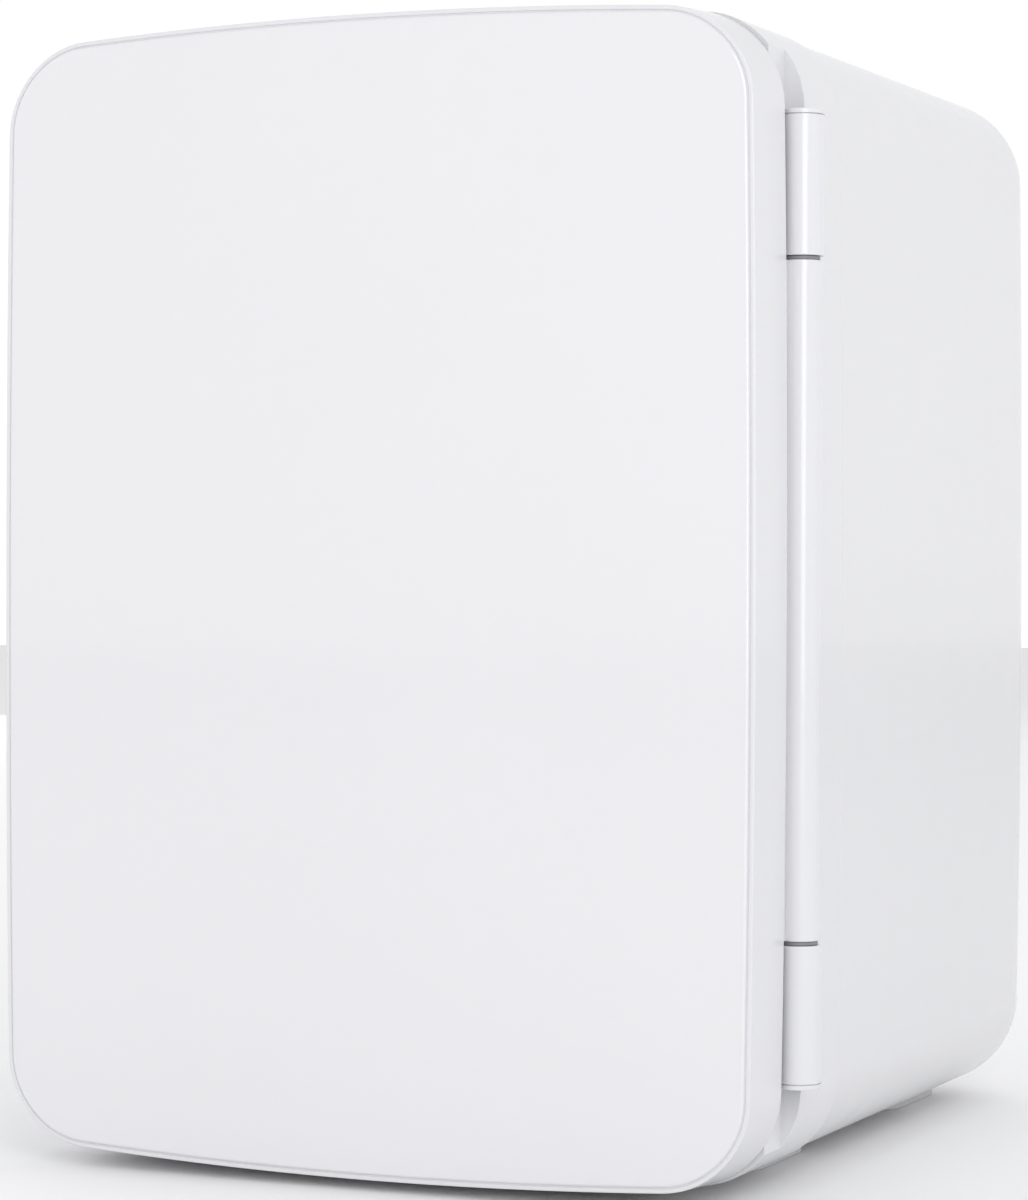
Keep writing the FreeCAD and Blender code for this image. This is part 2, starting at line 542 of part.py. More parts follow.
AXIS = (AXIS_X, AXIS_Y)
JOINTS = (d.lower_joint, UPPER_JOINT)
PINS = [(joint - d.pin_reach, joint + d.pin_reach) for joint in JOINTS]


def pin_bores(name, radius):
    return [rod(f"{name}_bore_{i}", "z", radius, (low - d.screw_gap, high + d.screw_gap), AXIS)
            for i, (low, high) in enumerate(PINS)]


# end knuckles: fixed barrels whose leaves are screwed to the bezel from inside
for name, span in KNUCKLES.items():
    barrel = rod(name + "_barrel", "z", d.end_barrel_radius, span, AXIS)
    leaf = block(name + "_leaf", LEAF_X, LEAF_Y, span)
    pilots = [rod(f"{name}_pilot_{i}", "x", d.screw_radius, (CHANNEL_X, LEAF_X[1] - 2), centre)
              for i, centre in enumerate(KNUCKLE_SCREWS)]
    solid = join(name + "_solid", barrel, leaf)
    finish(cut(name + "_body", solid, *pin_bores(name, d.pin_radius), *pilots), name)
finish(group("knuckle_screw_set", [
    screw(f"knuckle_screw_{i}", "x", LEAF_X[1] - 2, CHANNEL_WALL_X, centre, flip=True)
    for i, centre in enumerate(KNUCKLE_SCREWS)]), "knuckle_screws")

# steel pins, tight in the end knuckles, and nylon washers between the knuckles
finish(group("pin_set", [rod(f"pin_{i}", "z", d.pin_radius, span, AXIS)
                         for i, span in enumerate(PINS)]), "hinge_pins")
washers = []
for i, joint in enumerate(JOINTS):
    span = (joint - d.washer_thick / 2, joint + d.washer_thick / 2)
    disc = rod(f"washer_{i}_disc", "z", d.washer_radius, span, AXIS)
    hole = rod(f"washer_{i}_hole", "z", d.pin_radius + d.screw_gap,
               (joint - d.washer_thick, joint + d.washer_thick), AXIS)
    washers.append(cut(f"washer_{i}", disc, hole))
finish(group("washer_set", washers), "hinge_washers")

# door knuckle: the long barrel between them, with its leaf on the door's rear rim
DOOR_SPAN = (d.lower_joint + d.joint_gap / 2, UPPER_JOINT - d.joint_gap / 2)
DOOR_LEAF_X = (LEAF_X[0], HALF - d.leaf_inset)
PILLAR_X = (HALF - d.door_wall - d.pillar_reach, HALF - d.door_wall)
SCREW_X = DOOR_LEAF_X[0] + d.screw_radius + d.bin_gap
DOOR_SCREW_GAP = (DOOR_SPAN[1] - DOOR_SPAN[0] - 2 * d.door_screw_inset) / 3
DOOR_SCREWS = [(SCREW_X, DOOR_SPAN[0] + d.door_screw_inset + step * DOOR_SCREW_GAP) for step in range(4)]
SCREW_SEAT_Y = d.door_depth - 7
barrel = rod("door_barrel", "z", d.barrel_radius, DOOR_SPAN, AXIS)
leaf = block("door_leaf", DOOR_LEAF_X, (d.door_depth, AXIS_Y), DOOR_SPAN)
pilots = [rod(f"door_leaf_pilot_{i}", "y", d.screw_radius, (d.door_depth - 1, d.door_depth + 5), centre)
          for i, centre in enumerate(DOOR_SCREWS)]
finish(cut("door_knuckle_body", join("door_knuckle_solid", barrel, leaf),
           *pin_bores("door_knuckle", d.pin_radius + d.running_gap), *pilots), "door_knuckle")
finish(group("door_screw_set", [
    screw(f"door_screw_{i}", "y", d.door_depth + 5, SCREW_SEAT_Y, centre, flip=True)
    for i, centre in enumerate(DOOR_SCREWS)]), "door_knuckle_screws")

# --- door -------------------------------------------------------------------------------

WEB_Y = (d.panel_thick, d.panel_thick + d.web_thick)
LINER_PLATE_Y = (d.door_depth - d.liner_set - d.liner_plate, d.door_depth - d.liner_set)
PANEL_INSET = d.door_flare + d.panel_lip + d.panel_gap
PILLAR_Z = (DOOR_SPAN[0] - d.pillar_over, DOOR_SPAN[1] + d.pillar_over)

# glossy flat front panel, bonded onto the frame's web
panel = outline_block("panel", PANEL_INSET, (0, d.panel_thick))
round_edges(panel, d.panel_round, rear=False)
finish(panel, "door_panel")

# frame: a tray that widens a little rearwards, with a web under the panel and a screw pillar
door_outer = outline_block("door_outer", d.door_flare, (0, d.door_depth),
                           taper="atan(dims.door_flare / dims.door_depth)")
lip_cut = outline_block("lip_cut", -5, (-1, d.lip_setback))
panel_seat = outline_block("panel_seat", PANEL_INSET - d.panel_gap, (-1, WEB_Y[0]))
door_hollow = outline_block("door_hollow", d.door_wall, (WEB_Y[1], d.door_depth + 1))
pillar = block("pillar", (PILLAR_X[0], PILLAR_X[1] + 1), (WEB_Y[0], d.door_depth), PILLAR_Z)
counterbores = [rod(f"door_seat_{i}", "y", d.screw_head_radius + d.screw_gap,
                    (WEB_Y[0], SCREW_SEAT_Y), centre) for i, centre in enumerate(DOOR_SCREWS)]
counterbores += [rod(f"door_hole_{i}", "y", d.screw_radius + d.screw_gap, (0, d.door_depth + 1), centre)
                 for i, centre in enumerate(DOOR_SCREWS)]
door_tray = cut("door_tray", door_outer, lip_cut, panel_seat, door_hollow)
finish(cut("door_frame_body", join("door_tray_solid", door_tray, pillar), *counterbores), "door_frame")

# inner liner: a plate behind the gasket and a hollow plug that carries the bin brackets
PLUG_X = CABIN_X - d.plug_margin
PLUG_Z = (CABIN_Z[0] + d.plug_margin, CABIN_Z[1] - d.plug_margin)
PLUG_Y = d.door_depth + d.plug_reach
BRACKET_Y = (PLUG_Y - 1, PLUG_Y + d.bracket_reach)
BINS = {"lower_bin": (d.lower_bin_z, d.lower_bin_rise),
        "upper_bin": (PLUG_Z[1] - d.upper_bin_drop, d.upper_bin_rise)}
plate = outline_block("plate", d.door_wall + d.fit_gap, LINER_PLATE_Y)
pillar_notch = block("pillar_notch", (PILLAR_X[0] - d.fit_gap, HALF), (WEB_Y[1], d.door_depth),
                     (PILLAR_Z[0] - d.fit_gap, PILLAR_Z[1] + d.fit_gap))
plug = rounded_block("plug", "y", (-PLUG_X, PLUG_X), (LINER_PLATE_Y[0], PLUG_Y), PLUG_Z, d.plug_corner)
plug_hollow = rounded_block("plug_hollow", "y", (d.liner_wall - PLUG_X, PLUG_X - d.liner_wall),
                            (LINER_PLATE_Y[0] - 1, PLUG_Y - d.liner_wall),
                            (PLUG_Z[0] + d.liner_wall, PLUG_Z[1] - d.liner_wall),
                            d.plug_corner - d.liner_wall)
brackets = []
for name, (foot, rise) in BINS.items():
    span = (foot - d.bracket_drop, foot - d.bracket_drop + d.bracket_rise)
    lug_z = (foot + d.lug_up - d.lug_rise, foot + d.lug_up)

    def bracket(label, x):
        return rounded_block(label, "x", x, BRACKET_Y, span, d.plug_corner / 4)

    def lug(label, x):
        return block(label, x, (PLUG_Y + d.lug_start, PLUG_Y + d.lug_start + d.lug_length), lug_z)

    brackets += mirrored_pair(bracket, name + "_bracket", PLUG_X - d.bracket_thick, PLUG_X)
    brackets += mirrored_pair(lug, name + "_lug", PLUG_X - d.bracket_thick - d.lug_reach,
                              PLUG_X - d.bracket_thick + 1)
shaped_plate = cut("shaped_plate", join("plate_and_plug", plate, plug), plug_hollow, pillar_notch)
finish(join("door_liner_body", shaped_plate, *brackets), "door_liner")

# bins: open trays that drop over the lugs and lift off them
BIN_X = PLUG_X - d.bracket_thick - d.bin_gap
BIN_Y = (PLUG_Y + d.bin_gap, PLUG_Y + d.bracket_reach)
for name, (foot, rise) in BINS.items():
    tray = rounded_block(name + "_tray", "z", (-BIN_X, BIN_X), BIN_Y, (foot, foot + rise), d.bin_corner)
    well = rounded_block(name + "_well", "z", (d.bin_wall - BIN_X, BIN_X - d.bin_wall),
                         (BIN_Y[0] + d.bin_wall, BIN_Y[1] - d.bin_wall),
                         (foot + d.bin_wall, foot + rise + 1), d.bin_corner - d.bin_wall)

    def lug_slot(label, x):
        return block(label, x, (PLUG_Y + d.lug_start - d.lug_gap,
                                PLUG_Y + d.lug_start + d.lug_length + d.lug_gap),
                     (foot - 1, foot + d.lug_up + d.rest_gap))

    slots = mirrored_pair(lug_slot, name + "_slot", BIN_X - d.bin_wall - d.lug_gap, BIN_X + 1)
    finish(cut(name + "_body", tray, well, *slots), name)

# foam core of the door
core = outline_block("core", d.door_wall + d.foam_gap, (WEB_Y[1] + d.foam_gap, LINER_PLATE_Y[0]))
CORE_STEP = d.liner_wall + d.foam_gap
core_plug = rounded_block("core_plug", "y", (CORE_STEP - PLUG_X, PLUG_X - CORE_STEP),
                          (WEB_Y[1] + d.foam_gap, PLUG_Y - CORE_STEP),
                          (PLUG_Z[0] + CORE_STEP, PLUG_Z[1] - CORE_STEP), d.plug_corner - d.liner_wall)
core_notch = block("core_notch", (PILLAR_X[0] - d.foam_gap, HALF), (0, d.door_depth),
                   (PILLAR_Z[0] - d.foam_gap, PILLAR_Z[1] + d.foam_gap))
finish(cut("door_core", join("core_solid", core, core_plug), core_notch), "door_foam")

# gasket: a soft ring on the liner's plate, with a magnetic strip in its groove
GASKET_Y = (LINER_PLATE_Y[1], BEZEL_Y - d.rest_gap)
MAGNET_Y = (GASKET_Y[0], GASKET_Y[0] + d.magnet_thick)


def ring(name, inset, width, y):
    outer = outline_block(name + "_outside", inset, y)
    inner = outline_block(name + "_inside", inset + width, (Size(y[0]) - 1, Size(y[1]) + 1))
    return cut(name, outer, inner)


magnet_side = d.magnet_inset - d.screw_gap
gasket = ring("gasket_ring", d.gasket_inset, d.gasket_width, GASKET_Y)
groove = ring("gasket_groove", d.gasket_inset + magnet_side, d.gasket_width - 2 * magnet_side,
              (GASKET_Y[0] - 1, MAGNET_Y[1] + d.screw_gap))
finish(cut("gasket", gasket, groove), "door_gasket")
finish(ring("magnet_ring", d.gasket_inset + d.magnet_inset, d.gasket_width - 2 * d.magnet_inset, MAGNET_Y),
       "gasket_magnet")

# --- shelf ------------------------------------------------------------------------------

# moulded shelf with cross slots, resting on the liner's ledges, with a low rear lip
SHELF_X = CABIN_X - d.shelf_gap
SHELF_Y = (BIN_Y[1] + d.shelf_set, HOOD_Y[0] - 1)
SHELF_Z = (LEDGE_Z + d.rest_gap, LEDGE_Z + d.rest_gap + d.shelf_thick)
deck = rounded_block("deck", "z", (-SHELF_X, SHELF_X), SHELF_Y, SHELF_Z, d.bin_corner)
slot_span = (SHELF_Y[0] + d.shelf_border, SHELF_Y[1] - d.shelf_border)
slot_count = int((2 * float(SHELF_X - d.shelf_border)) / float(d.shelf_pitch))
first_slot = d.shelf_pitch * (1 - slot_count) / 2
shelf_slots = [block(f"shelf_slot_{i}", (first_slot + i * d.shelf_pitch - d.shelf_slot / 2,
                                         first_slot + i * d.shelf_pitch + d.shelf_slot / 2),
                     slot_span, (SHELF_Z[0] - 1, SHELF_Z[1] + 1)) for i in range(slot_count)]
rear_lip = block("rear_lip", (d.bin_corner - SHELF_X, SHELF_X - d.bin_corner),
                 (SHELF_Y[1] - d.bin_wall, SHELF_Y[1]), (SHELF_Z[0], SHELF_Z[1] + d.shelf_lip))
finish(join("shelf_body", cut("slotted_deck", deck, *shelf_slots), rear_lip), "shelf")

# --- cooling stack ----------------------------------------------------------------------


def finned_sink(name, label, base_y, fin_y, width, holes):
    """A flat base with upright fins. The strips above and below the fins take the screws."""
    low_z, field_z = MODULE_MID - d.sink_rise / 2, MODULE_MID - d.fin_field / 2
    base = block(name + "_base", (-width / 2, width / 2), base_y, (low_z, low_z + d.sink_rise))
    count = int((float(width) - float(d.fin_thick)) / float(d.fin_pitch)) + 1
    first = -d.fin_pitch * (count - 1) / 2
    fins = [block(f"{name}_fin_{i}", (first + i * d.fin_pitch - d.fin_thick / 2,
                                      first + i * d.fin_pitch + d.fin_thick / 2),
                  fin_y, (field_z, field_z + d.fin_field)) for i in range(count)]
    finish(cut(name + "_body", join(name + "_solid", base, *fins), *holes), label)


def fan(name, label, y, size, centre_z, spin):
    """A box fan: a square frame with a round duct, a hub on struts, and a bladed rotor.
    spin is 1 where the motor hub is at the rear of the frame and -1 where it is in front."""
    half = size / 2
    duct = half - d.fan_rim
    motor_share, blade_start, blade_end, strut_share = 0.3, 0.1, 0.4, 0.08
    blade_root, chord_share, blade_count, blade_pitch = 0.7, 1.25, 7, 50
    hub = size * d.hub_share
    length = Size(y[1]) - Size(y[0])
    middle = (Size(y[0]) + Size(y[1])) / 2
    motor_y = (y[1] - length * motor_share, y[1]) if spin > 0 else (y[0], y[0] + length * motor_share)
    blade_y = (y[0] + length * blade_start, y[1] - length * blade_end) if spin > 0 else (
        y[0] + length * blade_end, y[1] - length * blade_start)
    frame = rounded_block(name + "_box", "y", (-half, half), y, (centre_z - half, centre_z + half),
                          size * 0.05)
    bore = rod(name + "_duct", "y", duct, (Size(y[0]) - 1, Size(y[1]) + 1), (0, centre_z))
    screw_side = half - d.fan_screw_margin
    centres = [(x * screw_side, centre_z + z * screw_side) for x in (-1, 1) for z in (-1, 1)]
    holes = [rod(f"{name}_hole_{i}", "y", d.screw_radius + d.screw_gap,
                 (Size(y[0]) - 1, Size(y[1]) + 1), centre) for i, centre in enumerate(centres)]
    motor = rod(name + "_motor", "y", hub, motor_y, (0, centre_z))
    struts = [block(name + "_strut_across", (-duct - 1, duct + 1), motor_y,
                    (centre_z - length * strut_share, centre_z + length * strut_share)),
              block(name + "_strut_up", (-length * strut_share, length * strut_share), motor_y,
                    (centre_z - duct - 1, centre_z + duct + 1))]
    shaft_radius = d.screw_radius
    socket = rod(name + "_socket", "y", shaft_radius + d.running_gap,
                 (motor_y[0] + (-1 if spin > 0 else 1), motor_y[1] + (-1 if spin > 0 else 1)),
                 (0, centre_z))
    shell = cut(name + "_shell", frame, bore, *holes)
    finish(cut(name + "_frame_body", join(name + "_frame_solid", shell, motor, *struts), socket),
           label + "_frame")

    cap = rod(name + "_cap", "y", hub, (blade_y[0] - d.fit_gap, blade_y[1] + d.fit_gap), (0, centre_z))
    shaft_y = (middle, motor_y[1] - 2) if spin > 0 else (motor_y[0] + 2, middle)
    shaft = rod(name + "_shaft", "y", shaft_radius, shaft_y, (0, centre_z))
    blades = []
    for i in range(blade_count):
        blade = doc.addObject("Part::Box", f"{name}_blade_{i}")
        chord = (blade_y[1] - blade_y[0]) * chord_share
        for side, length_of in (("Length", duct - d.blade_gap - hub * blade_root),
                                ("Width", d.fin_thick), ("Height", chord)):
            blade.setExpression(side, str(length_of))
        turn = FreeCAD.Rotation(Vector(0, 1, 0), 360 * i / blade_count)
        tilt = FreeCAD.Rotation(Vector(1, 0, 0), blade_pitch)
        blade.Placement = FreeCAD.Placement(Vector(), turn * tilt)
        start = turn.multVec(Vector(1, 0, 0))
        lean = turn.multVec(tilt.multVec(Vector(0, 0, 1)))
        radius = hub * blade_root
        place(blade, radius * start.x - chord * lean.x / 2,
              (blade_y[0] + blade_y[1]) / 2 - chord * lean.y / 2,
              centre_z + radius * start.z - chord * lean.z / 2)
        sweep = rod(f"{name}_sweep_{i}", "y", duct - d.blade_gap, blade_y, (0, centre_z))
        blades.append(shared(f"{name}_vane_{i}", blade, sweep))
    finish(join(name + "_rotor_body", cap, shaft, *blades), label + "_rotor")
    return centres


def screw_set(label, axis, tip, head, centres, flip=False):
    finish(group(label + "_set", [screw(f"{label}_{i}", axis, tip, head, centre, flip=flip)
                                  for i, centre in enumerate(centres)]), label)


# cold sink in the tub's window, pulled to the hot sink by four long screws
cold_fin_y = (COLD_BASE_Y[0] - d.cold_fin_rise, COLD_BASE_Y[0] + 1)
cold_pilots = [rod(f"cold_pilot_{i}", "y", d.screw_radius, (COLD_BASE_Y[0] - 1, COLD_BASE_Y[1] + 1), centre)
               for i, centre in enumerate(CLAMPS)]
finned_sink("cold", "cold_sink", COLD_BASE_Y, cold_fin_y, d.cold_sink_width, cold_pilots)
HOT_BASE_Y = (FOAM_Y[1], FOAM_Y[1] + d.sink_base)
hot_fin_y = (HOT_BASE_Y[1] - 1, HOT_BASE_Y[1] + d.hot_fin_rise)
hot_holes = [rod(f"hot_hole_{i}", "y", d.screw_radius + d.screw_gap,
                 (HOT_BASE_Y[0] - 1, HOT_BASE_Y[1] + 1), centre) for i, centre in enumerate(CLAMPS)]
finned_sink("hot", "hot_sink", HOT_BASE_Y, hot_fin_y, d.hot_sink_width, hot_holes)
screw_set("clamp_screws", "y", COLD_BASE_Y[0], HOT_BASE_Y[1], CLAMPS)

# thermoelectric module on its aluminium spacer, in a square collar of foam
MODULE_X = (-d.module_size / 2, d.module_size / 2)
MODULE_Z = (MODULE_MID - d.module_size / 2, MODULE_MID + d.module_size / 2)
SPACER_Y = (COLD_BASE_Y[1], COLD_BASE_Y[1] + d.spacer_thick)
finish(block("spacer", MODULE_X, SPACER_Y, MODULE_Z), "spacer_block")
finish(block("module", MODULE_X, (SPACER_Y[1], FOAM_Y[1]), MODULE_Z), "cooling_module")
collar = block("collar", (-PAD_SIDE, PAD_SIDE), (SPACER_Y[0], FOAM_Y[1]),
               (MODULE_MID - PAD_SIDE, MODULE_MID + PAD_SIDE))
collar_window = block("collar_window", (MODULE_X[0] - d.fit_gap, MODULE_X[1] + d.fit_gap),
                      (SPACER_Y[0] - 1, FOAM_Y[1] + 1), (MODULE_Z[0] - d.fit_gap, MODULE_Z[1] + d.fit_gap))
collar_slot = block("collar_slot", LEAD_SLOT_X, LEAD_SLOT_Y, LEAD_SLOT_Z)
finish(cut("collar_body", collar, collar_window, collar_slot), "module_collar")

# fans: the cold one hangs inside the hood, the hot one on the rear cover
HOOD_FACE_Y = HOOD_Y[0] + d.hood_wall
COLD_FAN_Y = (HOOD_FACE_Y, HOOD_FACE_Y + d.cold_fan_thick)
HOT_FAN_Y = (BACK_Y - d.hot_fan_thick, BACK_Y)
cold_fan_holes = fan("cold_fan_part", "cold_fan", COLD_FAN_Y, d.cold_fan_size, MODULE_MID, -1)
hot_fan_holes = fan("hot_fan_part", "hot_fan", HOT_FAN_Y, d.hot_fan_size, MODULE_MID, 1)
screw_set("cold_fan_screws", "y", HOOD_Y[0] + 1, COLD_FAN_Y[1], cold_fan_holes)
screw_set("hot_fan_screws", "y", HOT_FAN_Y[0] + 4, COVER_Y, hot_fan_holes)

# hood over the cold fan: a shallow tub with a ladder of slots in its face
HOOD_HALF = d.hood_size / 2
hood_outer = rounded_block("hood_outer", "y", (-HOOD_HALF, HOOD_HALF), HOOD_Y,
                           (MODULE_MID - HOOD_HALF, MODULE_MID + HOOD_HALF), d.hood_corner)
hood_ladder = 7
plate_slots(hood_outer, "hood", d.cold_fan_size * 0.8, d.vent_slot,
            -d.vent_pitch * (hood_ladder - 1) / 2, d.vent_pitch, hood_ladder)
hood_hollow = rounded_block("hood_hollow", "y", (d.hood_wall - HOOD_HALF, HOOD_HALF - d.hood_wall),
                            (HOOD_FACE_Y, HOOD_Y[1] + 1),
                            (MODULE_MID - HOOD_HALF + d.hood_wall, MODULE_MID + HOOD_HALF - d.hood_wall),
                            d.hood_corner - d.hood_wall)
hood_posts = [rod(f"hood_post_{i}", "y", d.post_radius + 1, HOOD_Y, centre)
              for i, centre in enumerate(HOOD_SCREWS)]
hood_holes = [rod(f"hood_hole_{i}", "y", d.screw_radius + d.screw_gap, (HOOD_Y[0] - 1, HOOD_Y[1] + 1), centre)
              for i, centre in enumerate(HOOD_SCREWS)]
hood_holes += [rod(f"hood_fan_pilot_{i}", "y", d.screw_radius, (HOOD_Y[0] + 1, HOOD_FACE_Y + 1), centre)
               for i, centre in enumerate(cold_fan_holes)]
hood_seats = [rod(f"hood_seat_{i}", "y", d.screw_head_radius + d.screw_gap,
                  (HOOD_Y[0] - 1, HOOD_Y[0] + d.screw_head), centre)
              for i, centre in enumerate(HOOD_SCREWS)]
hood_tub = join("hood_tub", cut("hood_shell", hood_outer, hood_hollow), *hood_posts)
finish(cut("hood", hood_tub, *hood_holes, *hood_seats), "cold_hood")
screw_set("hood_screws", "y", LINER_Y[1] + 6, HOOD_Y[0] + d.screw_head, HOOD_SCREWS, flip=True)

# --- rear -------------------------------------------------------------------------------

COVER_X = OPENING_X + d.cover_margin
COVER_Z = (CENTRE_Z - OPENING_RISE - d.cover_margin, CENTRE_Z + OPENING_RISE + d.cover_margin)
FRONT_OF_COVER = BACK_Y - 1
BEHIND_COVER = COVER_Y + 1
EXHAUST_COUNT, INTAKE_COUNT = int(float(d.exhaust_slots)), int(float(d.intake_slots))


def socket_window(name, x, width, rise):
    return block(name, (x - width / 2 - d.fit_gap, x + width / 2 + d.fit_gap),
                 (FRONT_OF_COVER, BEHIND_COVER),
                 (d.power_z - rise / 2 - d.fit_gap, d.power_z + rise / 2 + d.fit_gap))


# rear cover: a flat moulding with an exhaust ladder, an intake ladder, windows and posts
cover_plate = rounded_block("cover_plate", "y", (-COVER_X, COVER_X), (BACK_Y, COVER_Y), COVER_Z,
                            d.cover_corner)
round_edges(cover_plate, d.cover_round)
plate_slots(cover_plate, "exhaust", d.vent_width, d.vent_slot,
            MODULE_MID - CENTRE_Z - d.vent_pitch * (EXHAUST_COUNT - 1) / 2, d.vent_pitch, EXHAUST_COUNT)
plate_slots(cover_plate, "intake", d.intake_width, d.vent_slot,
            d.intake_z - CENTRE_Z, d.vent_pitch, INTAKE_COUNT)
POST_INSET = d.post_radius + 1.8
BOARD_MID_Z = (d.power_z + MODULE_FOOT) / 2 + d.board_lift
BOARD_POSTS = [(x * (d.board_width / 2 - POST_INSET), BOARD_MID_Z + z * (d.board_rise / 2 - POST_INSET))
               for x in (-1, 1) for z in (-1, 1)]
BOARD_Y = (BACK_Y - d.board_post - d.board_thick, BACK_Y - d.board_post)
cover_posts = [rod(f"board_post_{i}", "y", d.post_radius, (BOARD_Y[1], COVER_Y), centre)
               for i, centre in enumerate(BOARD_POSTS)]
SPACER_Z = (COVER_Z[1] - d.spacer_drop - d.spacer_rise, COVER_Z[1] - d.spacer_drop)
spacers = [rounded_block(f"spacer_bar_{i}", "y", (x - d.spacer_width / 2, x + d.spacer_width / 2),
                         (COVER_Y - 1, OVERALL_DEPTH), SPACER_Z, d.spacer_corner)
           for i, x in enumerate((-COVER_X + d.spacer_side, COVER_X - d.spacer_side))]
windows = [socket_window("ac_window", d.ac_x, d.ac_width, d.ac_rise),
           socket_window("dc_window", d.dc_x, d.dc_width, d.dc_rise),
           socket_window("switch_window", d.switch_x, d.switch_width, d.switch_rise)]
through_cover = (FRONT_OF_COVER, BEHIND_COVER)
cover_holes = [rod(f"lamp_hole_{i}", "y", d.lamp_radius + d.screw_gap, through_cover, (x, d.power_z))
               for i, x in enumerate((d.cold_lamp_x, d.warm_lamp_x))]
cover_holes += [rod(f"cover_hole_{i}", "y", d.screw_radius + d.screw_gap, through_cover, centre)
                for i, centre in enumerate(COVER_SCREWS + hot_fan_holes)]
cover_holes += [rod(f"board_pilot_{i}", "y", d.screw_radius, (BOARD_Y[1] - 1, BOARD_Y[1] + 9), centre)
                for i, centre in enumerate(BOARD_POSTS)]
cover_solid = join("cover_solid", cover_plate, *cover_posts, *spacers)
finish(cut("cover", cover_solid, *windows, *cover_holes), "rear_cover")
screw_set("cover_screws", "y", BACK_Y - 5, COVER_Y, COVER_SCREWS)

# control board with its transformer, two capacitors and a terminal block
board_blank = block("board_blank", (-d.board_width / 2, d.board_width / 2), BOARD_Y,
                    (BOARD_MID_Z - d.board_rise / 2, BOARD_MID_Z + d.board_rise / 2))
board_holes = [rod(f"board_hole_{i}", "y", d.screw_radius + d.screw_gap,
                   (BOARD_Y[0] - 1, BOARD_Y[1] + 1), centre)
               for i, centre in enumerate(BOARD_POSTS)]
finish(cut("board", board_blank, *board_holes), "control_board")
screw_set("board_screws", "y", BOARD_Y[1] + 6, BOARD_Y[0], BOARD_POSTS, flip=True)


def about(middle, width):
    """A span of the given width, centred on middle."""
    return middle - width / 2, middle + width / 2


coil = block("coil", about(d.coil_x, d.coil_width), (BOARD_Y[0] - d.coil_depth, BOARD_Y[0]),
             about(BOARD_MID_Z, d.coil_rise))
core_block = block("core_block", about(d.coil_x, d.core_width),
                   (BOARD_Y[0] - d.coil_depth + d.core_set, BOARD_Y[0] - d.core_set),
                   about(BOARD_MID_Z, d.core_rise))
finish(join("transformer_body", coil, core_block), "transformer")
finish(group("capacitor_pair", [
    rod(f"capacitor_{i}", "y", d.capacitor_radius, (BOARD_Y[0] - d.capacitor_height, BOARD_Y[0]),
        (d.capacitor_x, BOARD_MID_Z + side * d.capacitor_side))
    for i, side in enumerate((-1, 1))]), "capacitors")
TERMINAL_Y = (BOARD_Y[0] - d.terminal_height, BOARD_Y[0])
TERMINAL_Z = (BOARD_MID_Z - d.terminal_drop, BOARD_MID_Z - d.terminal_drop + d.terminal_rise)
terminals = [block("module_terminal", about(Size(0), d.module_terminal_width), TERMINAL_Y, TERMINAL_Z),
             block("fan_terminal", about(d.fan_terminal_x, d.fan_terminal_width), TERMINAL_Y, TERMINAL_Z)]
finish(group("terminal_set", terminals), "terminal_blocks")


def inlet(name, label, x, width, rise, depth, cavity_depth, pin_side, pin_radius):
    """A panel socket: a body through the cover, a flange behind it, and two pins in its cavity."""
    flange_y = (COVER_Y, COVER_Y + d.flange_thick)
    body_y = (flange_y[1] - depth, flange_y[1])
    shell = rounded_block(name + "_shell", "y", about(x, width), body_y, about(d.power_z, rise), rise * 0.2)
    flange = rounded_block(name + "_flange", "y", about(x, width + 2 * d.socket_flange), flange_y,
                           about(d.power_z, rise + 2 * d.socket_flange), d.flange_corner)
    cavity_y = (flange_y[1] - cavity_depth, flange_y[1] + 1)
    cavity = rounded_block(name + "_cavity", "y", about(x, width - 2 * d.socket_wall), cavity_y,
                           about(d.power_z, rise - 2 * d.socket_wall), rise * 0.15)
    pin_y = (body_y[0] - d.pin_tail, flange_y[1] - d.pin_recess)
    pin_set, holes = [], []
    for i, side in enumerate((-1, 1)):
        centre = (x + side * pin_side, d.power_z)
        pin_set.append(rod(f"{name}_pin_{i}", "y", pin_radius, pin_y, centre))
        holes.append(rod(f"{name}_pin_hole_{i}", "y", pin_radius, (body_y[0] - 1, cavity_y[0] + 1), centre))
    finish(cut(name + "_body", join(name + "_solid", shell, flange), cavity, *holes), label)
    finish(group(name + "_pin_set", pin_set), label + "_pins")


inlet("mains", "ac_inlet", d.ac_x, d.ac_width, d.ac_rise, d.ac_depth, d.ac_cavity, d.ac_pin_side,
      d.ac_pin_radius)
inlet("car", "dc_inlet", d.dc_x, d.dc_width, d.dc_rise, d.dc_depth, d.dc_cavity, d.dc_pin_side,
      d.dc_pin_radius)

# mode switch: a three-place slide switch, shown in its middle place
SWITCH_Y = (COVER_Y + d.flange_thick - d.switch_depth, COVER_Y + d.flange_thick)
SWITCH_SLOT_Y = SWITCH_Y[1] - d.switch_slot_depth
switch_shell = rounded_block("switch_shell", "y", about(d.switch_x, d.switch_width), SWITCH_Y,
                             about(d.power_z, d.switch_rise), d.flange_corner / 2)
switch_flange = rounded_block("switch_flange", "y", about(d.switch_x, d.switch_width + 2 * d.flange_corner),
                              (COVER_Y, SWITCH_Y[1]), about(d.power_z, d.switch_rise + 2 * d.flange_corner),
                              d.flange_corner)
switch_slot = block("switch_slot", about(d.switch_x, d.lever_width + 2 * d.lever_travel + 2 * d.fit_gap),
                    (SWITCH_SLOT_Y, SWITCH_Y[1] + 1), about(d.power_z, d.lever_width + 2 * d.fit_gap))
finish(cut("switch_body", join("switch_solid", switch_shell, switch_flange), switch_slot), "mode_switch_case")
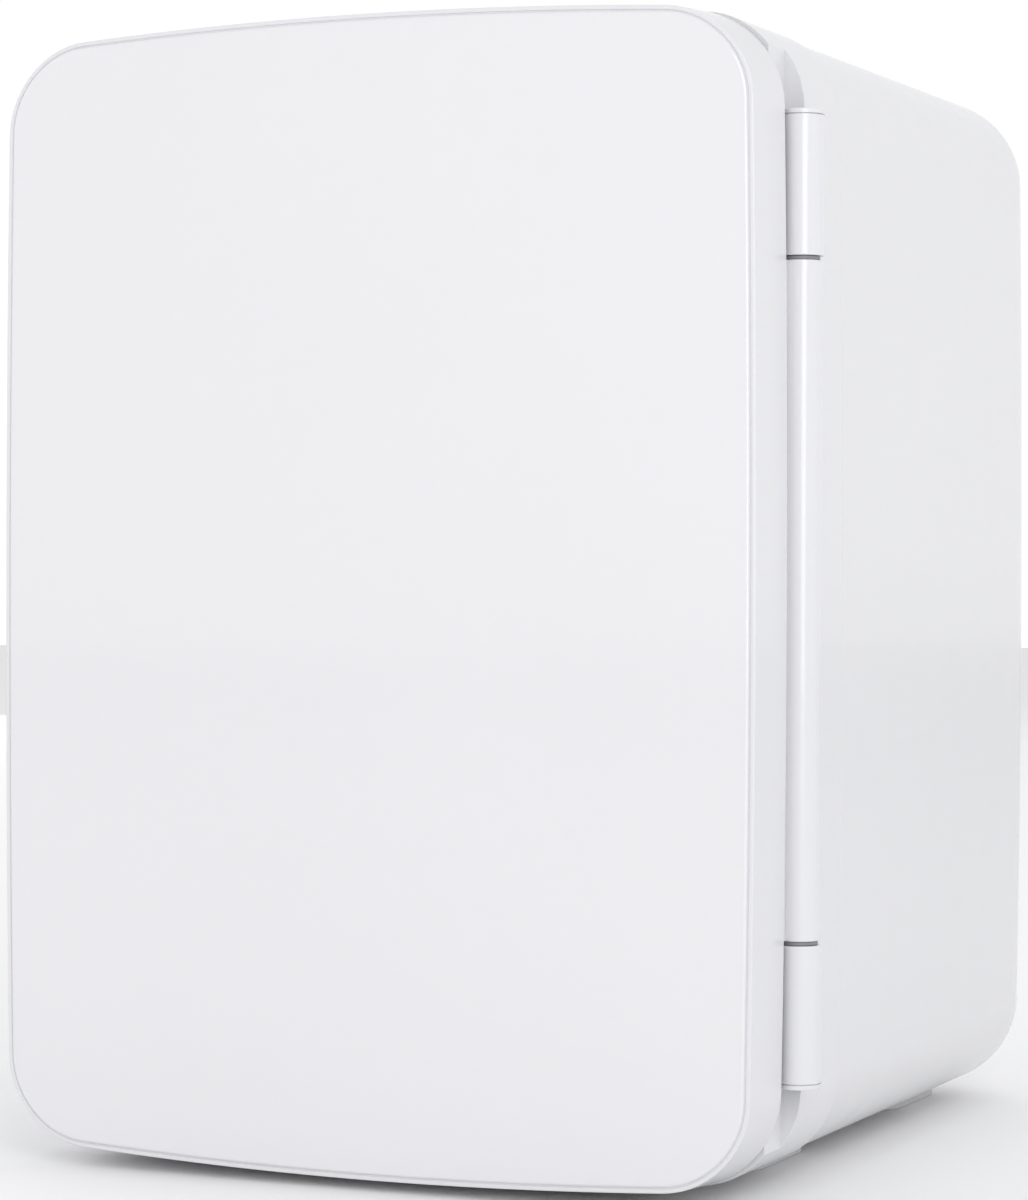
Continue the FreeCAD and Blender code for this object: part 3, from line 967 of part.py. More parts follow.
lever = rounded_block("lever", "y", about(d.switch_x, d.lever_width),
                      (SWITCH_SLOT_Y + d.fit_gap, OVERALL_DEPTH - d.rest_gap),
                      about(d.power_z, d.lever_width), d.lever_corner)
finish(lever, "mode_switch_lever")

# two indicator lamps through the cover, and the cut-out clipped on the hot sink's upper strip
for label, x in (("cold_lamp", d.cold_lamp_x), ("warm_lamp", d.warm_lamp_x)):
    finish(rod(label + "_lens", "y", d.lamp_radius, (BACK_Y - 4, COVER_Y + 1), (x, d.power_z)), label)
finish(rod("cut_out", "x", d.cut_out_radius, about(Size(0), d.cut_out_length),
           (HOT_BASE_Y[1] + d.cut_out_radius, MODULE_MID + d.clamp_up)), "thermal_cutout")


def lead_tube(points, radius):
    """A tube along straight runs joined by arcs, each as large as its shorter run allows."""
    edges, start = [], points[0]
    for before, corner, after in zip(points, points[1:], points[2:]):
        inward, outward = corner - before, after - corner
        turn = inward.getAngle(outward)
        shorter = min(inward.Length, outward.Length)
        tangent = 0.45 * shorter
        inward.normalize()
        outward.normalize()
        first, last = corner - inward * tangent, corner + outward * tangent
        bend = tangent / math.tan(turn / 2)
        bisector = outward - inward
        bisector.normalize()
        middle = corner + bisector * (bend / math.cos(turn / 2) - bend)
        edges += [Part.LineSegment(start, first).toShape(), Part.Arc(first, middle, last).toShape()]
        start = last
    edges.append(Part.LineSegment(start, points[-1]).toShape())
    path = Part.Wire(edges)
    section = Part.Wire(Part.Circle(points[0], points[1] - points[0], radius).toShape())
    tube = path.makePipeShell([section], True, True)
    solid = Part.Solid(tube) if tube.ShapeType == "Shell" else tube
    expected = math.pi * radius ** 2 * path.Length
    assert abs(solid.Volume - expected) < 0.02 * expected, "lead volume"
    return solid


def lead(name, route):
    """A lead as a plain shape. Its route is worked out from the sheet's sizes."""
    piece = doc.addObject("Part::Feature", name)
    piece.Shape = lead_tube([Vector(*(float(Size(size)) for size in point)) for point in route],
                            float(d.lead_radius))
    return piece


slot_y = FOAM_Y[1] - 2 * d.lead_radius
module_routes = [lead(f"module_lead_{i}", (
    (x, slot_y, MODULE_Z[0] - 1), (x, slot_y, MODULE_FOOT - d.lead_bend),
    (x, slot_y + d.lead_bend, BOARD_MID_Z + d.lead_sweep),
    (x, TERMINAL_Y[0] - d.lead_reach, BOARD_MID_Z + 1), (x, TERMINAL_Y[0], BOARD_MID_Z + 1)))
    for i, x in enumerate((-1.5 * d.lead_radius, 1.5 * d.lead_radius))]
finish(group("module_lead_pair", module_routes), "module_leads")
fan_foot = MODULE_MID - d.hot_fan_size / 2
lead_y = (HOT_FAN_Y[0] + d.fan_lead_set, TERMINAL_Y[0] + d.fan_lead_entry)
fan_lead = lead("fan_lead", (
    (d.fan_lead_x, lead_y[0], fan_foot), (d.fan_lead_x, lead_y[0], fan_foot - d.lead_reach),
    (d.fan_lead_turn, lead_y[0] - d.fan_lead_back, fan_foot - d.fan_lead_drop),
    (d.fan_terminal_x, lead_y[1], BOARD_MID_Z + d.fan_lead_lift),
    (d.fan_terminal_x, lead_y[1], TERMINAL_Z[1])))
finish(fan_lead, "hot_fan_lead")

# --- export -----------------------------------------------------------------------------

doc.recompute()
for item in doc.Objects:
    broken = {"Invalid", "Error"} & set(item.State)
    assert not broken, f"{item.Name}: {item.State}"
labels = [piece.Label for piece in finished]
assert len(set(labels)) == len(labels) <= 60, "labels repeat or are too many"
os.makedirs("parts", exist_ok=True)
for piece in finished:
    shape = piece.Shape
    assert not shape.isNull() and shape.isValid(), piece.Label
    assert shape.Solids, piece.Label
    shape.exportStep(os.path.join("parts", piece.Label + ".step"))
print(len(finished), "parts")
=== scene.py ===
import math
import bmesh
import bpy
from mathutils import Matrix, Vector


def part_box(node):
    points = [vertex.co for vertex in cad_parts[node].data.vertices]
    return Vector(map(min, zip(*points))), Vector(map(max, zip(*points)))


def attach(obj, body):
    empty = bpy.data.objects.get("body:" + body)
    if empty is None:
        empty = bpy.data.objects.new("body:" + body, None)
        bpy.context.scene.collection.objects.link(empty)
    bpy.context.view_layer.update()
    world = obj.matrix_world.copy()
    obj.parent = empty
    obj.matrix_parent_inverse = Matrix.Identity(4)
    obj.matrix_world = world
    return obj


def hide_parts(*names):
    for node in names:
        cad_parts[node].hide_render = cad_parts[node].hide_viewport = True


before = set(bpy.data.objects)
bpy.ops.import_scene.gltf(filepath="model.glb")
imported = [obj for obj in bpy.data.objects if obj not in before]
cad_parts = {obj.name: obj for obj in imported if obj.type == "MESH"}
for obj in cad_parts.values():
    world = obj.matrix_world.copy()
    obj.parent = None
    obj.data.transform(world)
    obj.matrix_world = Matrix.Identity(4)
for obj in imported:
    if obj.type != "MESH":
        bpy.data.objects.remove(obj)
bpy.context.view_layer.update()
MM = 0.001

# --- studio -------------------------------------------------------------------------------
# A wide pale floor under an even sky that is brightest at the horizon. The tallest softbox
# stands in front on the right, where the hinge faces it, and weaker ones fill the far sides.

FLOOR_RADIUS = 6.0
FLOOR_STEPS = 96
HORIZON, ZENITH = (1.06, 1.06, 1.06, 1.0), (0.66, 0.665, 0.68, 1.0)
LENS, SENSOR = 108.8, 36.0
CAMERA_PLACE = (0.4642, -1.0739, 0.1843)
CAMERA_TURN, CAMERA_TILT, CAMERA_ROLL = 0.4235, -0.0132, 0.0027
SOFTBOXES = (
    ("key_light", (1.48, -1.9, 0.95), (1.0, 1.9), 20.0),
    ("left_light", (-2.2, -1.2, 1.4), (1.6, 1.6), 5.0),
    ("top_light", (0.1, 0.6, 2.6), (1.6, 1.6), 6.0),
    ("back_light", (-1.9, 1.9, 0.9), (1.8, 1.8), 6.0),
)
LIT_POINT = (0.0, 0.0, 0.17)

scene = bpy.context.scene
scene.view_settings.view_transform = "Standard"


def link(thing):
    scene.collection.objects.link(thing)
    return thing


def aim(thing, place, target):
    """Stands a light at place and turns it towards target."""
    direction = Vector(target) - Vector(place)
    thing.matrix_world = (Matrix.Translation(place)
                          @ direction.to_track_quat("-Z", "Y").to_matrix().to_4x4())


camera = link(bpy.data.objects.new("camera", bpy.data.cameras.new("camera")))
camera.data.lens, camera.data.sensor_width = LENS, SENSOR
camera.matrix_world = (Matrix.Translation(CAMERA_PLACE) @ Matrix.Rotation(CAMERA_TURN, 4, "Z")
                       @ Matrix.Rotation(math.pi / 2 + CAMERA_TILT, 4, "X")
                       @ Matrix.Rotation(CAMERA_ROLL, 4, "Z"))
scene.camera = camera

scene.world = bpy.data.worlds.new("daylight")
scene.world.use_nodes = True
sky = scene.world.node_tree
heading = sky.nodes.new("ShaderNodeTexCoord")
height = sky.nodes.new("ShaderNodeSeparateXYZ")
fade = sky.nodes.new("ShaderNodeMix")
fade.data_type = "RGBA"
fade.inputs[6].default_value, fade.inputs[7].default_value = HORIZON, ZENITH
sky.links.new(heading.outputs["Generated"], height.inputs[0])
sky.links.new(height.outputs["Z"], fade.inputs[0])
sky.links.new(fade.outputs[2], sky.nodes["Background"].inputs["Color"])
for name, place, size, power in SOFTBOXES:
    softbox = bpy.data.lights.new(name, "AREA")
    softbox.shape, softbox.energy = "RECTANGLE", power
    softbox.size, softbox.size_y = size
    aim(link(bpy.data.objects.new(name, softbox)), place, LIT_POINT)


class Value:
    """A shader socket that arithmetic works on. Each operation adds its Math node."""

    def __init__(self, finish, socket):
        self.finish, self.socket = finish, socket

    def math(self, operation, *terms):
        return self.finish.node("ShaderNodeMath", {"operation": operation}, terms)

    def __add__(self, other):
        return self.math("ADD", self, other)

    __radd__ = __add__


class Finish:
    """One material: its Principled shader, and the nodes that vary it over the surface."""

    def __init__(self, name, **sockets):
        self.material = bpy.data.materials.new(name)
        self.material.use_nodes = True
        self.shader = self.material.node_tree.nodes["Principled BSDF"]
        self.set(**sockets)

    def set(self, **sockets):
        """Sets or links the shader's own sockets: base_color, roughness, coat_weight..."""
        for name, value in sockets.items():
            self.plug(self.shader.inputs[name.replace("_", " ").title().replace("Ior", "IOR")], value)

    def plug(self, socket, value):
        if isinstance(value, Value):
            self.material.node_tree.links.new(value.socket, socket)
        else:
            socket.default_value = value

    def node(self, kind, settings=None, inputs=(), output=0):
        """Adds any node. inputs is a row of values, or a dictionary of socket to value."""
        made = self.material.node_tree.nodes.new(kind)
        for key, value in (settings or {}).items():
            setattr(made, key, value)
        for key, value in inputs.items() if isinstance(inputs, dict) else enumerate(inputs):
            self.plug(made.inputs[key], value)
        return Value(self, made.outputs[output])

    def place(self, stretch=(1, 1, 1)):
        """The point's own coordinates in metres, stretched along each axis."""
        at = self.node("ShaderNodeTexCoord", output="Object")
        return self.node("ShaderNodeVectorMath", {"operation": "MULTIPLY"}, (at, stretch))

    def noise(self, size, detail=2.0, stretch=(1, 1, 1)):
        """Soft noise from 0 to 1 whose spots are size metres across."""
        return self.node("ShaderNodeTexNoise", {}, {"Vector": self.place(stretch), "Scale": 1 / size,
                                                    "Detail": detail})

    def spread(self, value, low, high, start=0.3, end=0.7):
        """Carries value's span from start to end over to low to high."""
        return self.node("ShaderNodeMapRange", {}, (value, start, end, low, high))

    def mix(self, share, first, second):
        """A colour between two, by share."""
        return self.node("ShaderNodeMix", {"data_type": "RGBA"}, {0: share, 6: first, 7: second}, 2)

    def bump(self, height, depth, strength=1.0, below=None):
        """Relief of depth metres, on top of the relief below it."""
        inputs = {"Height": height, "Distance": depth, "Strength": strength}
        if below is not None:
            inputs["Normal"] = below
        return self.node("ShaderNodeBump", {}, inputs)


def shade(colour, factor):
    """A colour made lighter or darker, with its alpha."""
    return tuple(min(1.0, part * factor) for part in colour[:3]) + (1.0,)


paper = Finish("studio_floor", roughness=0.9)
paper.set(base_color=paper.mix(paper.noise(1.2), (0.93, 0.93, 0.93, 1), (0.95, 0.95, 0.95, 1)),
          normal=paper.bump(paper.noise(0.004), 0.0001))
floor_mesh = bmesh.new()
bmesh.ops.create_circle(floor_mesh, cap_ends=True, segments=FLOOR_STEPS, radius=FLOOR_RADIUS)
floor_data = bpy.data.meshes.new("floor")
floor_mesh.to_mesh(floor_data)
floor = link(bpy.data.objects.new("floor", floor_data))
floor_data.materials.append(paper.material)

# --- outer shell --------------------------------------------------------------------------
# The case's sleeve: one injection moulding in glossy white ABS, 2.5 mm thick. It bulges a
# little on all four sides, turns over a soft rear rim, and is open where the rear cover goes.

CORNER = 27 * MM
CORNER_STEPS = 14
SIDE_CUTS = 23
CROWN_TOP, CROWN_SIDE = 5 * MM, 1.6 * MM
WALL = 2.5 * MM
REAR_ROUND, REAR_SOFTNESS = 30 * MM, 10 * MM
RIM_STEPS = 14
PROBES = 12
SMOOTH_LIMIT = math.radians(32)
MERGE_DISTANCE = 1e-6
MIN_CORNER = 2 * MM
EDGE = 0.5 * MM
OPENING, OPENING_CORNER = (86 * MM, 131 * MM), 14 * MM
WHITE = (0.69, 0.69, 0.71, 1)
PLANES = {"x": ((0, 1, 0), (0, 0, 1), (1, 0, 0)), "y": ((1, 0, 0), (0, 0, 1), (0, 1, 0)),
          "z": ((1, 0, 0), (0, 1, 0), (0, 0, 1))}

bezel_low, bezel_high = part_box("front_bezel")
shell_low, shell_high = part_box("outer_shell")
MIDDLE = ((bezel_low.x + bezel_high.x) / 2, (bezel_low.z + bezel_high.z) / 2)
HALF = ((bezel_high.x - bezel_low.x) / 2, (bezel_high.z - bezel_low.z) / 2)


def bulge(point):
    """Moves a point of a straight-sided outline onto the case's bulging one."""
    across, up = (point.x - MIDDLE[0]) / HALF[0], (point.z - MIDDLE[1]) / HALF[1]
    point.x -= CROWN_SIDE * across * up * up
    point.z -= CROWN_TOP * up * across * across


def loop(bm, axis, level, centre, half, corner, cuts=0):
    """A closed loop of edges square to an axis: a rectangle with round corners."""
    across, up, along = (Vector(side) for side in PLANES[axis])
    spot = Matrix.Translation(across * centre[0] + up * centre[1] + along * level)
    turn = Matrix((across * half[0], up * half[1], along)).transposed().to_4x4()
    old = set(bm.edges)
    corners = bmesh.ops.create_grid(bm, x_segments=1, y_segments=1, size=1, matrix=spot @ turn)["verts"]
    bmesh.ops.bevel(bm, geom=corners, offset=corner, offset_type="OFFSET", segments=CORNER_STEPS,
                    profile=0.5, affect="VERTICES", material=-1)
    edges = [edge for edge in bm.edges if edge not in old]
    if cuts:
        sides = sorted(edges, key=lambda edge: edge.calc_length())[-4:]
        bmesh.ops.subdivide_edges(bm, edges=sides, cuts=cuts)
        edges = [edge for edge in bm.edges if edge not in old]
    bmesh.ops.delete(bm, geom=list({face for edge in edges for face in edge.link_faces}),
                     context="FACES_ONLY")
    return edges


def case_loop(bm, y, inset, softness=0.0):
    """The case's own outline at depth y, stepped in by inset."""
    half = (HALF[0] - inset, HALF[1] - inset)
    edges = loop(bm, "y", y, MIDDLE, half, max(CORNER - inset + softness, MIN_CORNER), SIDE_CUTS)
    for vert in {vert for edge in edges for vert in edge.verts}:
        bulge(vert.co)
    return edges


def walk(edges):
    """The verts of one loop of edges, in turn."""
    members, edge, verts = set(edges), edges[0], [edges[0].verts[0]]
    while edge.other_vert(verts[-1]) is not verts[0]:
        verts.append(edge.other_vert(verts[-1]))
        edge = next(near for near in verts[-1].link_edges if near in members and near is not edge)
    return verts


def facing(verts):
    """The direction that a loop of verts runs anticlockwise about."""
    return sum((one.co.cross(two.co) for one, two in zip(verts, verts[1:] + verts[:1])), Vector())


def in_step(verts, last):
    """Turns a loop of verts so that each faces its partner in the last loop."""
    if facing(verts).dot(facing(last)) < 0:
        verts.reverse()
    count = len(verts)
    shift = min(range(count), key=lambda shift: sum(
        (verts[(i + shift) % count].co - last[i].co).length_squared
        for i in range(0, count, max(1, count // PROBES))))
    return verts[shift:] + verts[:shift]


def skin(bm, loops, closed=False):
    """Joins each loop to the next. closed joins the last to the first; if not, both ends are
    filled."""
    rows = [walk(edges) for edges in loops]
    for i in range(len(rows) if closed else len(rows) - 1):
        first, second = i, (i + 1) % len(rows)
        if len(rows[first]) != len(rows[second]):
            bmesh.ops.bridge_loops(bm, edges=loops[first] + loops[second])
            continue
        near, far = rows[first], in_step(rows[second], rows[first])
        if second:
            rows[second] = far
        for j in range(len(near)):
            bm.faces.new((near[j - 1], near[j], far[j], far[j - 1]))
    if not closed:
        for end in (rows[0], rows[-1]):
            bm.faces.new(end)


def make(name, bm, body, slot, finish, *nodes):
    """Turns bm into a piece that rides on body, wears finish and stands for nodes. slot is not used."""
    bmesh.ops.remove_doubles(bm, verts=bm.verts, dist=MERGE_DISTANCE)
    bmesh.ops.recalc_face_normals(bm, faces=bm.faces)
    for face in bm.faces:
        face.smooth = True
    for edge in bm.edges:
        edge.smooth = edge.calc_face_angle(0) < SMOOTH_LIMIT
    data = bpy.data.meshes.new(name)
    bm.to_mesh(data)
    bm.free()
    piece = link(bpy.data.objects.new(name, data))
    data.materials.append(finish.material)
    piece.modifiers.new("even_normals", "WEIGHTED_NORMAL").keep_sharp = True
    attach(piece, body)
    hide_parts(*nodes)


def moulded_white(name, colour, gloss, ripple, coat=0.25):
    """Glossy white plastic: a faint drift of tint, fine specks and a slightly rippled skin."""
    finish = Finish(name, coat_roughness=0.05)
    finish.set(coat_weight=coat)
    drift, speck = finish.noise(0.09, 3), finish.noise(0.0016, 4)
    rubbed = finish.noise(0.02, 6)
    tint = finish.mix(drift, shade(colour, 0.985), shade(colour, 1.01))
    skin_relief = finish.bump(finish.noise(0.012), ripple, 0.5)
    finish.set(base_color=finish.mix(finish.spread(speck, 0, 0.12), tint, shade(colour, 0.97)),
               roughness=finish.spread(rubbed, gloss, gloss + 0.07) + finish.spread(speck, 0, 0.03),
               normal=finish.bump(speck, 0.4e-5, 0.35, skin_relief))
    return finish


def quarter(steps):
    """Sine and 1 - cosine pairs along a quarter turn."""
    turns = [i / steps * math.pi / 2 for i in range(steps + 1)]
    return [(math.sin(turn), 1 - math.cos(turn)) for turn in turns]


shell_white = moulded_white("shell_white_abs", WHITE, 0.16, 1.5e-5)
front, back = shell_low.y, shell_high.y
sleeve = bmesh.new()
loops = [case_loop(sleeve, front + EDGE * (1 - rise), EDGE * fall)
         for rise, fall in reversed(quarter(3))]
loops += [case_loop(sleeve, back - REAR_ROUND * (1 - rise), REAR_ROUND * fall, REAR_SOFTNESS * fall)
          for rise, fall in quarter(RIM_STEPS)]
loops += [loop(sleeve, "y", y, MIDDLE, OPENING, OPENING_CORNER, SIDE_CUTS)
          for y in (back, back - WALL)]
loops += [case_loop(sleeve, back - WALL, REAR_ROUND), case_loop(sleeve, back - REAR_ROUND, WALL),
          case_loop(sleeve, front, WALL)]
skin(sleeve, loops, closed=True)
make("case_sleeve", sleeve, "cabinet", "shell_white", shell_white, "outer_shell")

# --- front bezel --------------------------------------------------------------------------
# The case's front ring, moulded in the same white ABS. Its face carries the door's seal, the
# hinge stands in a channel down one side, and a recess opposite lets fingers behind the door.

MOULD_EDGE = 0.35 * MM
EDGE_LIMIT, FLAT_LIMIT = math.radians(40), math.radians(0.02)
CAD_MERGE_DISTANCE = 2e-6


def eased(name, node, body, slot, finish, radius=MOULD_EDGE):
    """A moulding with its sharp outer edges rounded a little, as the tool leaves them."""
    bm = bmesh.new()
    bm.from_mesh(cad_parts[node].data)
    bmesh.ops.remove_doubles(bm, verts=bm.verts, dist=CAD_MERGE_DISTANCE)
    bmesh.ops.dissolve_limit(bm, angle_limit=FLAT_LIMIT, verts=bm.verts, edges=bm.edges)
    sharp = [edge for edge in bm.edges
             if edge.is_manifold and edge.calc_face_angle_signed() > EDGE_LIMIT]
    bmesh.ops.bevel(bm, geom=sharp, offset=radius, offset_type="OFFSET", segments=2, profile=0.5,
                    affect="EDGES", material=-1, clamp_overlap=True)
    make(name, bm, body, slot, finish, node)


eased("case_bezel", "front_bezel", "cabinet", "shell_white", shell_white)

# --- rear cover ---------------------------------------------------------------------------
# A flat white moulding with a fine spark-eroded texture, two ladders of air slots and two
# bars that keep it off a wall. Six zinc-plated pan-head screws hold it to the sleeve.

REAR_WHITE = (0.66, 0.66, 0.68, 1)
ZINC = (0.62, 0.63, 0.65, 1)
HEAD_HEIGHT, HEAD_ROUND, SHANK_RADIUS = 1.8 * MM, 0.75 * MM, 1.5 * MM
CROSS_ARM, CROSS_HALF, CROSS_DEPTH = 1.5 * MM, 0.3 * MM, 1.1 * MM
CROSS_SET, CROSS_TAPER = 0.02 * MM, 0.6
THREAD_PITCH, THREAD_STEP, TIP_STEP = 1.0 * MM, 0.24 * MM, 0.48 * MM
ROUND_STEPS = 32


def textured(name, colour, rough, grain, depth, tint=0.03):
    """Matt plastic with an even grain of the given size and depth."""
    finish = Finish(name)
    pebble = finish.noise(grain, 3)
    drift = finish.noise(0.05, 3)
    tone = finish.mix(drift, shade(colour, 1 - tint), shade(colour, 1 + tint))
    finish.set(base_color=finish.mix(finish.spread(pebble, 0, 0.3), tone, shade(colour, 0.94)),
               roughness=(finish.spread(drift, rough - 0.04, rough + 0.06)
                          + finish.spread(pebble, 0, 0.08)),
               normal=finish.bump(pebble, depth, 0.8))
    return finish


def brushed(name, colour, rough, stretch, line=0.0004):
    """Bare metal with fine lines along one axis and a few dull patches."""
    finish = Finish(name, metallic=1.0)
    lines, patches = finish.noise(line, 4, stretch), finish.noise(0.01, 5)
    tone = finish.mix(finish.spread(patches, 0, 1), shade(colour, 0.9), shade(colour, 1.05))
    finish.set(base_color=finish.mix(finish.spread(lines, 0, 0.35), tone, shade(colour, 0.8)),
               roughness=finish.spread(patches, rough, rough + 0.12) + finish.spread(lines, 0, 0.1),
               normal=finish.bump(lines, 1e-5, 0.6))
    return finish


def lathe(bm, centre, axis, profile, steps):
    """A turned shape: (radius, distance along the axis) points swept round the axis."""
    along, side = Vector(axis), Vector(axis).orthogonal().normalized()
    points = [bm.verts.new(Vector(centre) + side * radius + along * level) for radius, level in profile]
    edges = [bm.edges.new(pair) for pair in zip(points, points[1:])]
    bmesh.ops.spin(bm, geom=points + edges, cent=centre, axis=axis, angle=2 * math.pi, steps=steps,
                   use_merge=True)


rear_white = textured("rear_white_abs", REAR_WHITE, 0.5, 0.0006, 1.2e-5, 0.015)
zinc = brushed("zinc_plate", ZINC, 0.28, (1, 1, 1), 0.0008)
eased("cover_plate", "rear_cover", "cabinet", "rear_white", rear_white)


def wear(finish, *nodes):
    """Gives CAD pieces whose shape is already right their finish."""
    for node in nodes:
        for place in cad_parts[node].material_slots:
            place.material = finish.material


def islands(node):
    """The corners of the box round each separate solid in a CAD node."""
    bm = bmesh.new()
    bm.from_mesh(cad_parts[node].data)
    bmesh.ops.remove_doubles(bm, verts=bm.verts, dist=CAD_MERGE_DISTANCE)
    boxes, seen = [], set()
    for start in bm.verts:
        if start in seen:
            continue
        seen.add(start)
        found = [start]
        for vert in found:
            others = [edge.other_vert(vert) for edge in vert.link_edges]
            near = [other for other in others if other not in seen]
            seen.update(near)
            found += near
        boxes.append([Vector(pick(vert.co[i] for vert in found) for i in range(3))
                      for pick in (min, max)])
    bm.free()
    return boxes


def ring(bm, centre, level, radius):
    """A round loop of edges square to y."""
    spot = Matrix.Translation((centre[0], level, centre[1])) @ Matrix.Rotation(math.pi / 2, 4, "X")
    made = bmesh.ops.create_circle(bm, segments=ROUND_STEPS, radius=radius, matrix=spot)["verts"]
    return list(dict.fromkeys(edge for vert in made for edge in vert.link_edges))


def cross(bm, centre, level, arm, half):
    """A cross-shaped loop of edges square to y."""
    corner = ((arm, -half), (arm, half), (half, half))
    turned = [Matrix.Rotation(turn * math.pi / 2, 2) @ Vector(place)
              for turn in range(4) for place in corner]
    points = [bm.verts.new((centre[0] + place.x, level, centre[1] + place.y)) for place in turned]
    return [bm.edges.new(pair) for pair in zip(points, points[1:] + points[:1])]


def pan_heads(node, outward):
    """Threaded screws along y with a rounded head and a cross recess, one for each CAD screw."""
    bm = bmesh.new()
    for low, high in islands(node):
        centre, radius = ((low.x + high.x) / 2, (low.z + high.z) / 2), (high.x - low.x) / 2
        top, tip = (high.y, low.y) if outward > 0 else (low.y, high.y)
        neck = top - outward * HEAD_HEIGHT
        loops = [ring(bm, centre, tip, SHANK_RADIUS - TIP_STEP)]
        turns = int((abs(neck - tip) - THREAD_PITCH) / THREAD_PITCH)
        for i in range(turns * 2):
            level = tip + outward * (i + 1) * THREAD_PITCH / 2
            loops.append(ring(bm, centre, level, SHANK_RADIUS - (i % 2) * THREAD_STEP))
        loops += [ring(bm, centre, neck, SHANK_RADIUS), ring(bm, centre, neck, radius)]
        loops += [ring(bm, centre, top - outward * HEAD_ROUND * (1 - rise), radius - HEAD_ROUND * fall)
                  for rise, fall in quarter(5)]
        loops += [cross(bm, centre, top - outward * CROSS_SET, CROSS_ARM, CROSS_HALF),
                  cross(bm, centre, top - outward * CROSS_DEPTH, CROSS_ARM * CROSS_TAPER,
                        CROSS_HALF * CROSS_TAPER)]
        skin(bm, loops)
    make(node + "_cross_head", bm, "cabinet", "screw_steel", zinc, node)


pan_heads("cover_screws", 1)
pan_heads("hot_fan_screws", 1)
wear(zinc, "knuckle_screws", "door_knuckle_screws", "clamp_screws", "board_screws")

# --- feet ---------------------------------------------------------------------------------
# Four oblong rubber pads pressed up into the floor of the sleeve. Each has a rounded lower
# edge and a shallow hollow in its sole.

FOOT_CORNER, FOOT_ROUND = 7.2 * MM, 0.9 * MM
FOOT_TOP = 5.3 * MM
RUBBER = (0.6, 0.6, 0.61, 1)
SOLE_INSET, HOLLOW_INSET, HOLLOW_DEPTH = 3 * MM, 3.5 * MM, 0.5 * MM
CORNER_SHARE, PAD_STEPS = 0.95, 5


def plan(low, high):
    """The middle and the half size of a box seen from above."""
    return ((low.x + high.x) / 2, (low.y + high.y) / 2), ((high.x - low.x) / 2, (high.y - low.y) / 2)


white_rubber = textured("white_rubber", RUBBER, 0.6, 0.0005, 1.5e-5, 0.04)
for place in ("front_left", "front_right", "rear_left", "rear_right"):
    low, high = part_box("foot_" + place)
    centre, half = plan(low, high)
    pad = bmesh.new()
    steps = [(FOOT_TOP, 0)]
    steps += [(FOOT_ROUND * (1 - rise), FOOT_ROUND * fall) for rise, fall in quarter(PAD_STEPS)]
    steps += [(0, SOLE_INSET), (HOLLOW_DEPTH, HOLLOW_INSET)]
    skin(pad, [loop(pad, "z", level, centre, (half[0] - inset, half[1] - inset),
                    FOOT_CORNER - inset * CORNER_SHARE) for level, inset in steps])
    make("rubber_foot_" + place, pad, "cabinet", "foot_rubber", white_rubber, "foot_" + place)

# --- cabin --------------------------------------------------------------------------------
# One vacuum-formed tub in satin white HIPS, with a flange round its mouth and a ledge each
# side for the shelf. Rigid polyurethane foam fills the space round it.

LINER = (0.79, 0.8, 0.815, 1)
FOAM = (0.78, 0.72, 0.55, 1)
GALVANISED = (0.58, 0.59, 0.6, 1)


def foamed(name, colour):
    """Rigid foam: open pores whose pits carry painted shade, and patches that have yellowed."""
    finish = Finish(name, roughness=0.92)
    pores = finish.node("ShaderNodeTexVoronoi", {}, {"Vector": finish.place(), "Scale": 900})
    tone = finish.mix(finish.noise(0.03, 4), shade(colour, 0.85), shade(colour, 1.08))
    # The colour is painted darker at the pore centres, where the bump sinks its pits: painted shade in
    # the pits.
    finish.set(base_color=finish.mix(finish.spread(pores, 0, 0.5, 0.1, 0.6), shade(colour, 0.6), tone),
               normal=finish.bump(pores, 1e-4, 0.7))
    return finish


liner_white = moulded_white("liner_white_hips", LINER, 0.3, 3e-5, 0.1)
cream_foam = foamed("polyurethane_foam", FOAM)
strike_steel = brushed("galvanised_strip", GALVANISED, 0.35, (1, 1, 0.05), 0.0006)
eased("cabin_tub", "cabin_liner", "cabinet", "liner_white", liner_white)
wear(cream_foam, "cabin_foam", "door_foam", "module_collar")
wear(strike_steel, "strike_frame")

# --- shelf --------------------------------------------------------------------------------
# A grid moulded in the same white plastic: a rim with twenty bars across it. It slides on the
# tub's ledges, and its rear lip stops cans from touching the hood.

DECK_THICK, DECK_CORNER, DECK_ROUND = 3 * MM, 6 * MM, 0.7 * MM
DECK_BORDER, BAR_WIDTH, BAR_PITCH, BAR_COUNT = 12 * MM, 4 * MM, 8 * MM, 20
DECK_OPENING_HALF, OPENING_SOFT = 82 * MM, 1 * MM
LIP_THICK, BAR_SUNK, BAR_OVERLAP = 2 * MM, 0.1 * MM, 1 * MM
BOX_STEPS = 3


def box(bm, low, high, radius):
    """A box between two corners with rounded edges."""
    middle, size = (Vector(low) + Vector(high)) / 2, Vector(high) - Vector(low)
    spot = Matrix.Translation(middle) @ Matrix.Diagonal((*size, 1))
    made = bmesh.ops.create_cube(bm, size=1, matrix=spot)["verts"]
    edges = list(dict.fromkeys(edge for vert in made for edge in vert.link_edges))
    bmesh.ops.bevel(bm, geom=edges, offset=radius, offset_type="OFFSET", segments=BOX_STEPS,
                    profile=0.5, affect="EDGES", material=-1)


def soft_edges(low, high, radius, steps=4):
    """The level and inset of each loop up a wall whose two edges are rounded."""
    lower = [(low + radius * (1 - rise), radius * fall) for rise, fall in reversed(quarter(steps))]
    return lower + [(high - radius * (1 - rise), radius * fall) for rise, fall in quarter(steps)]


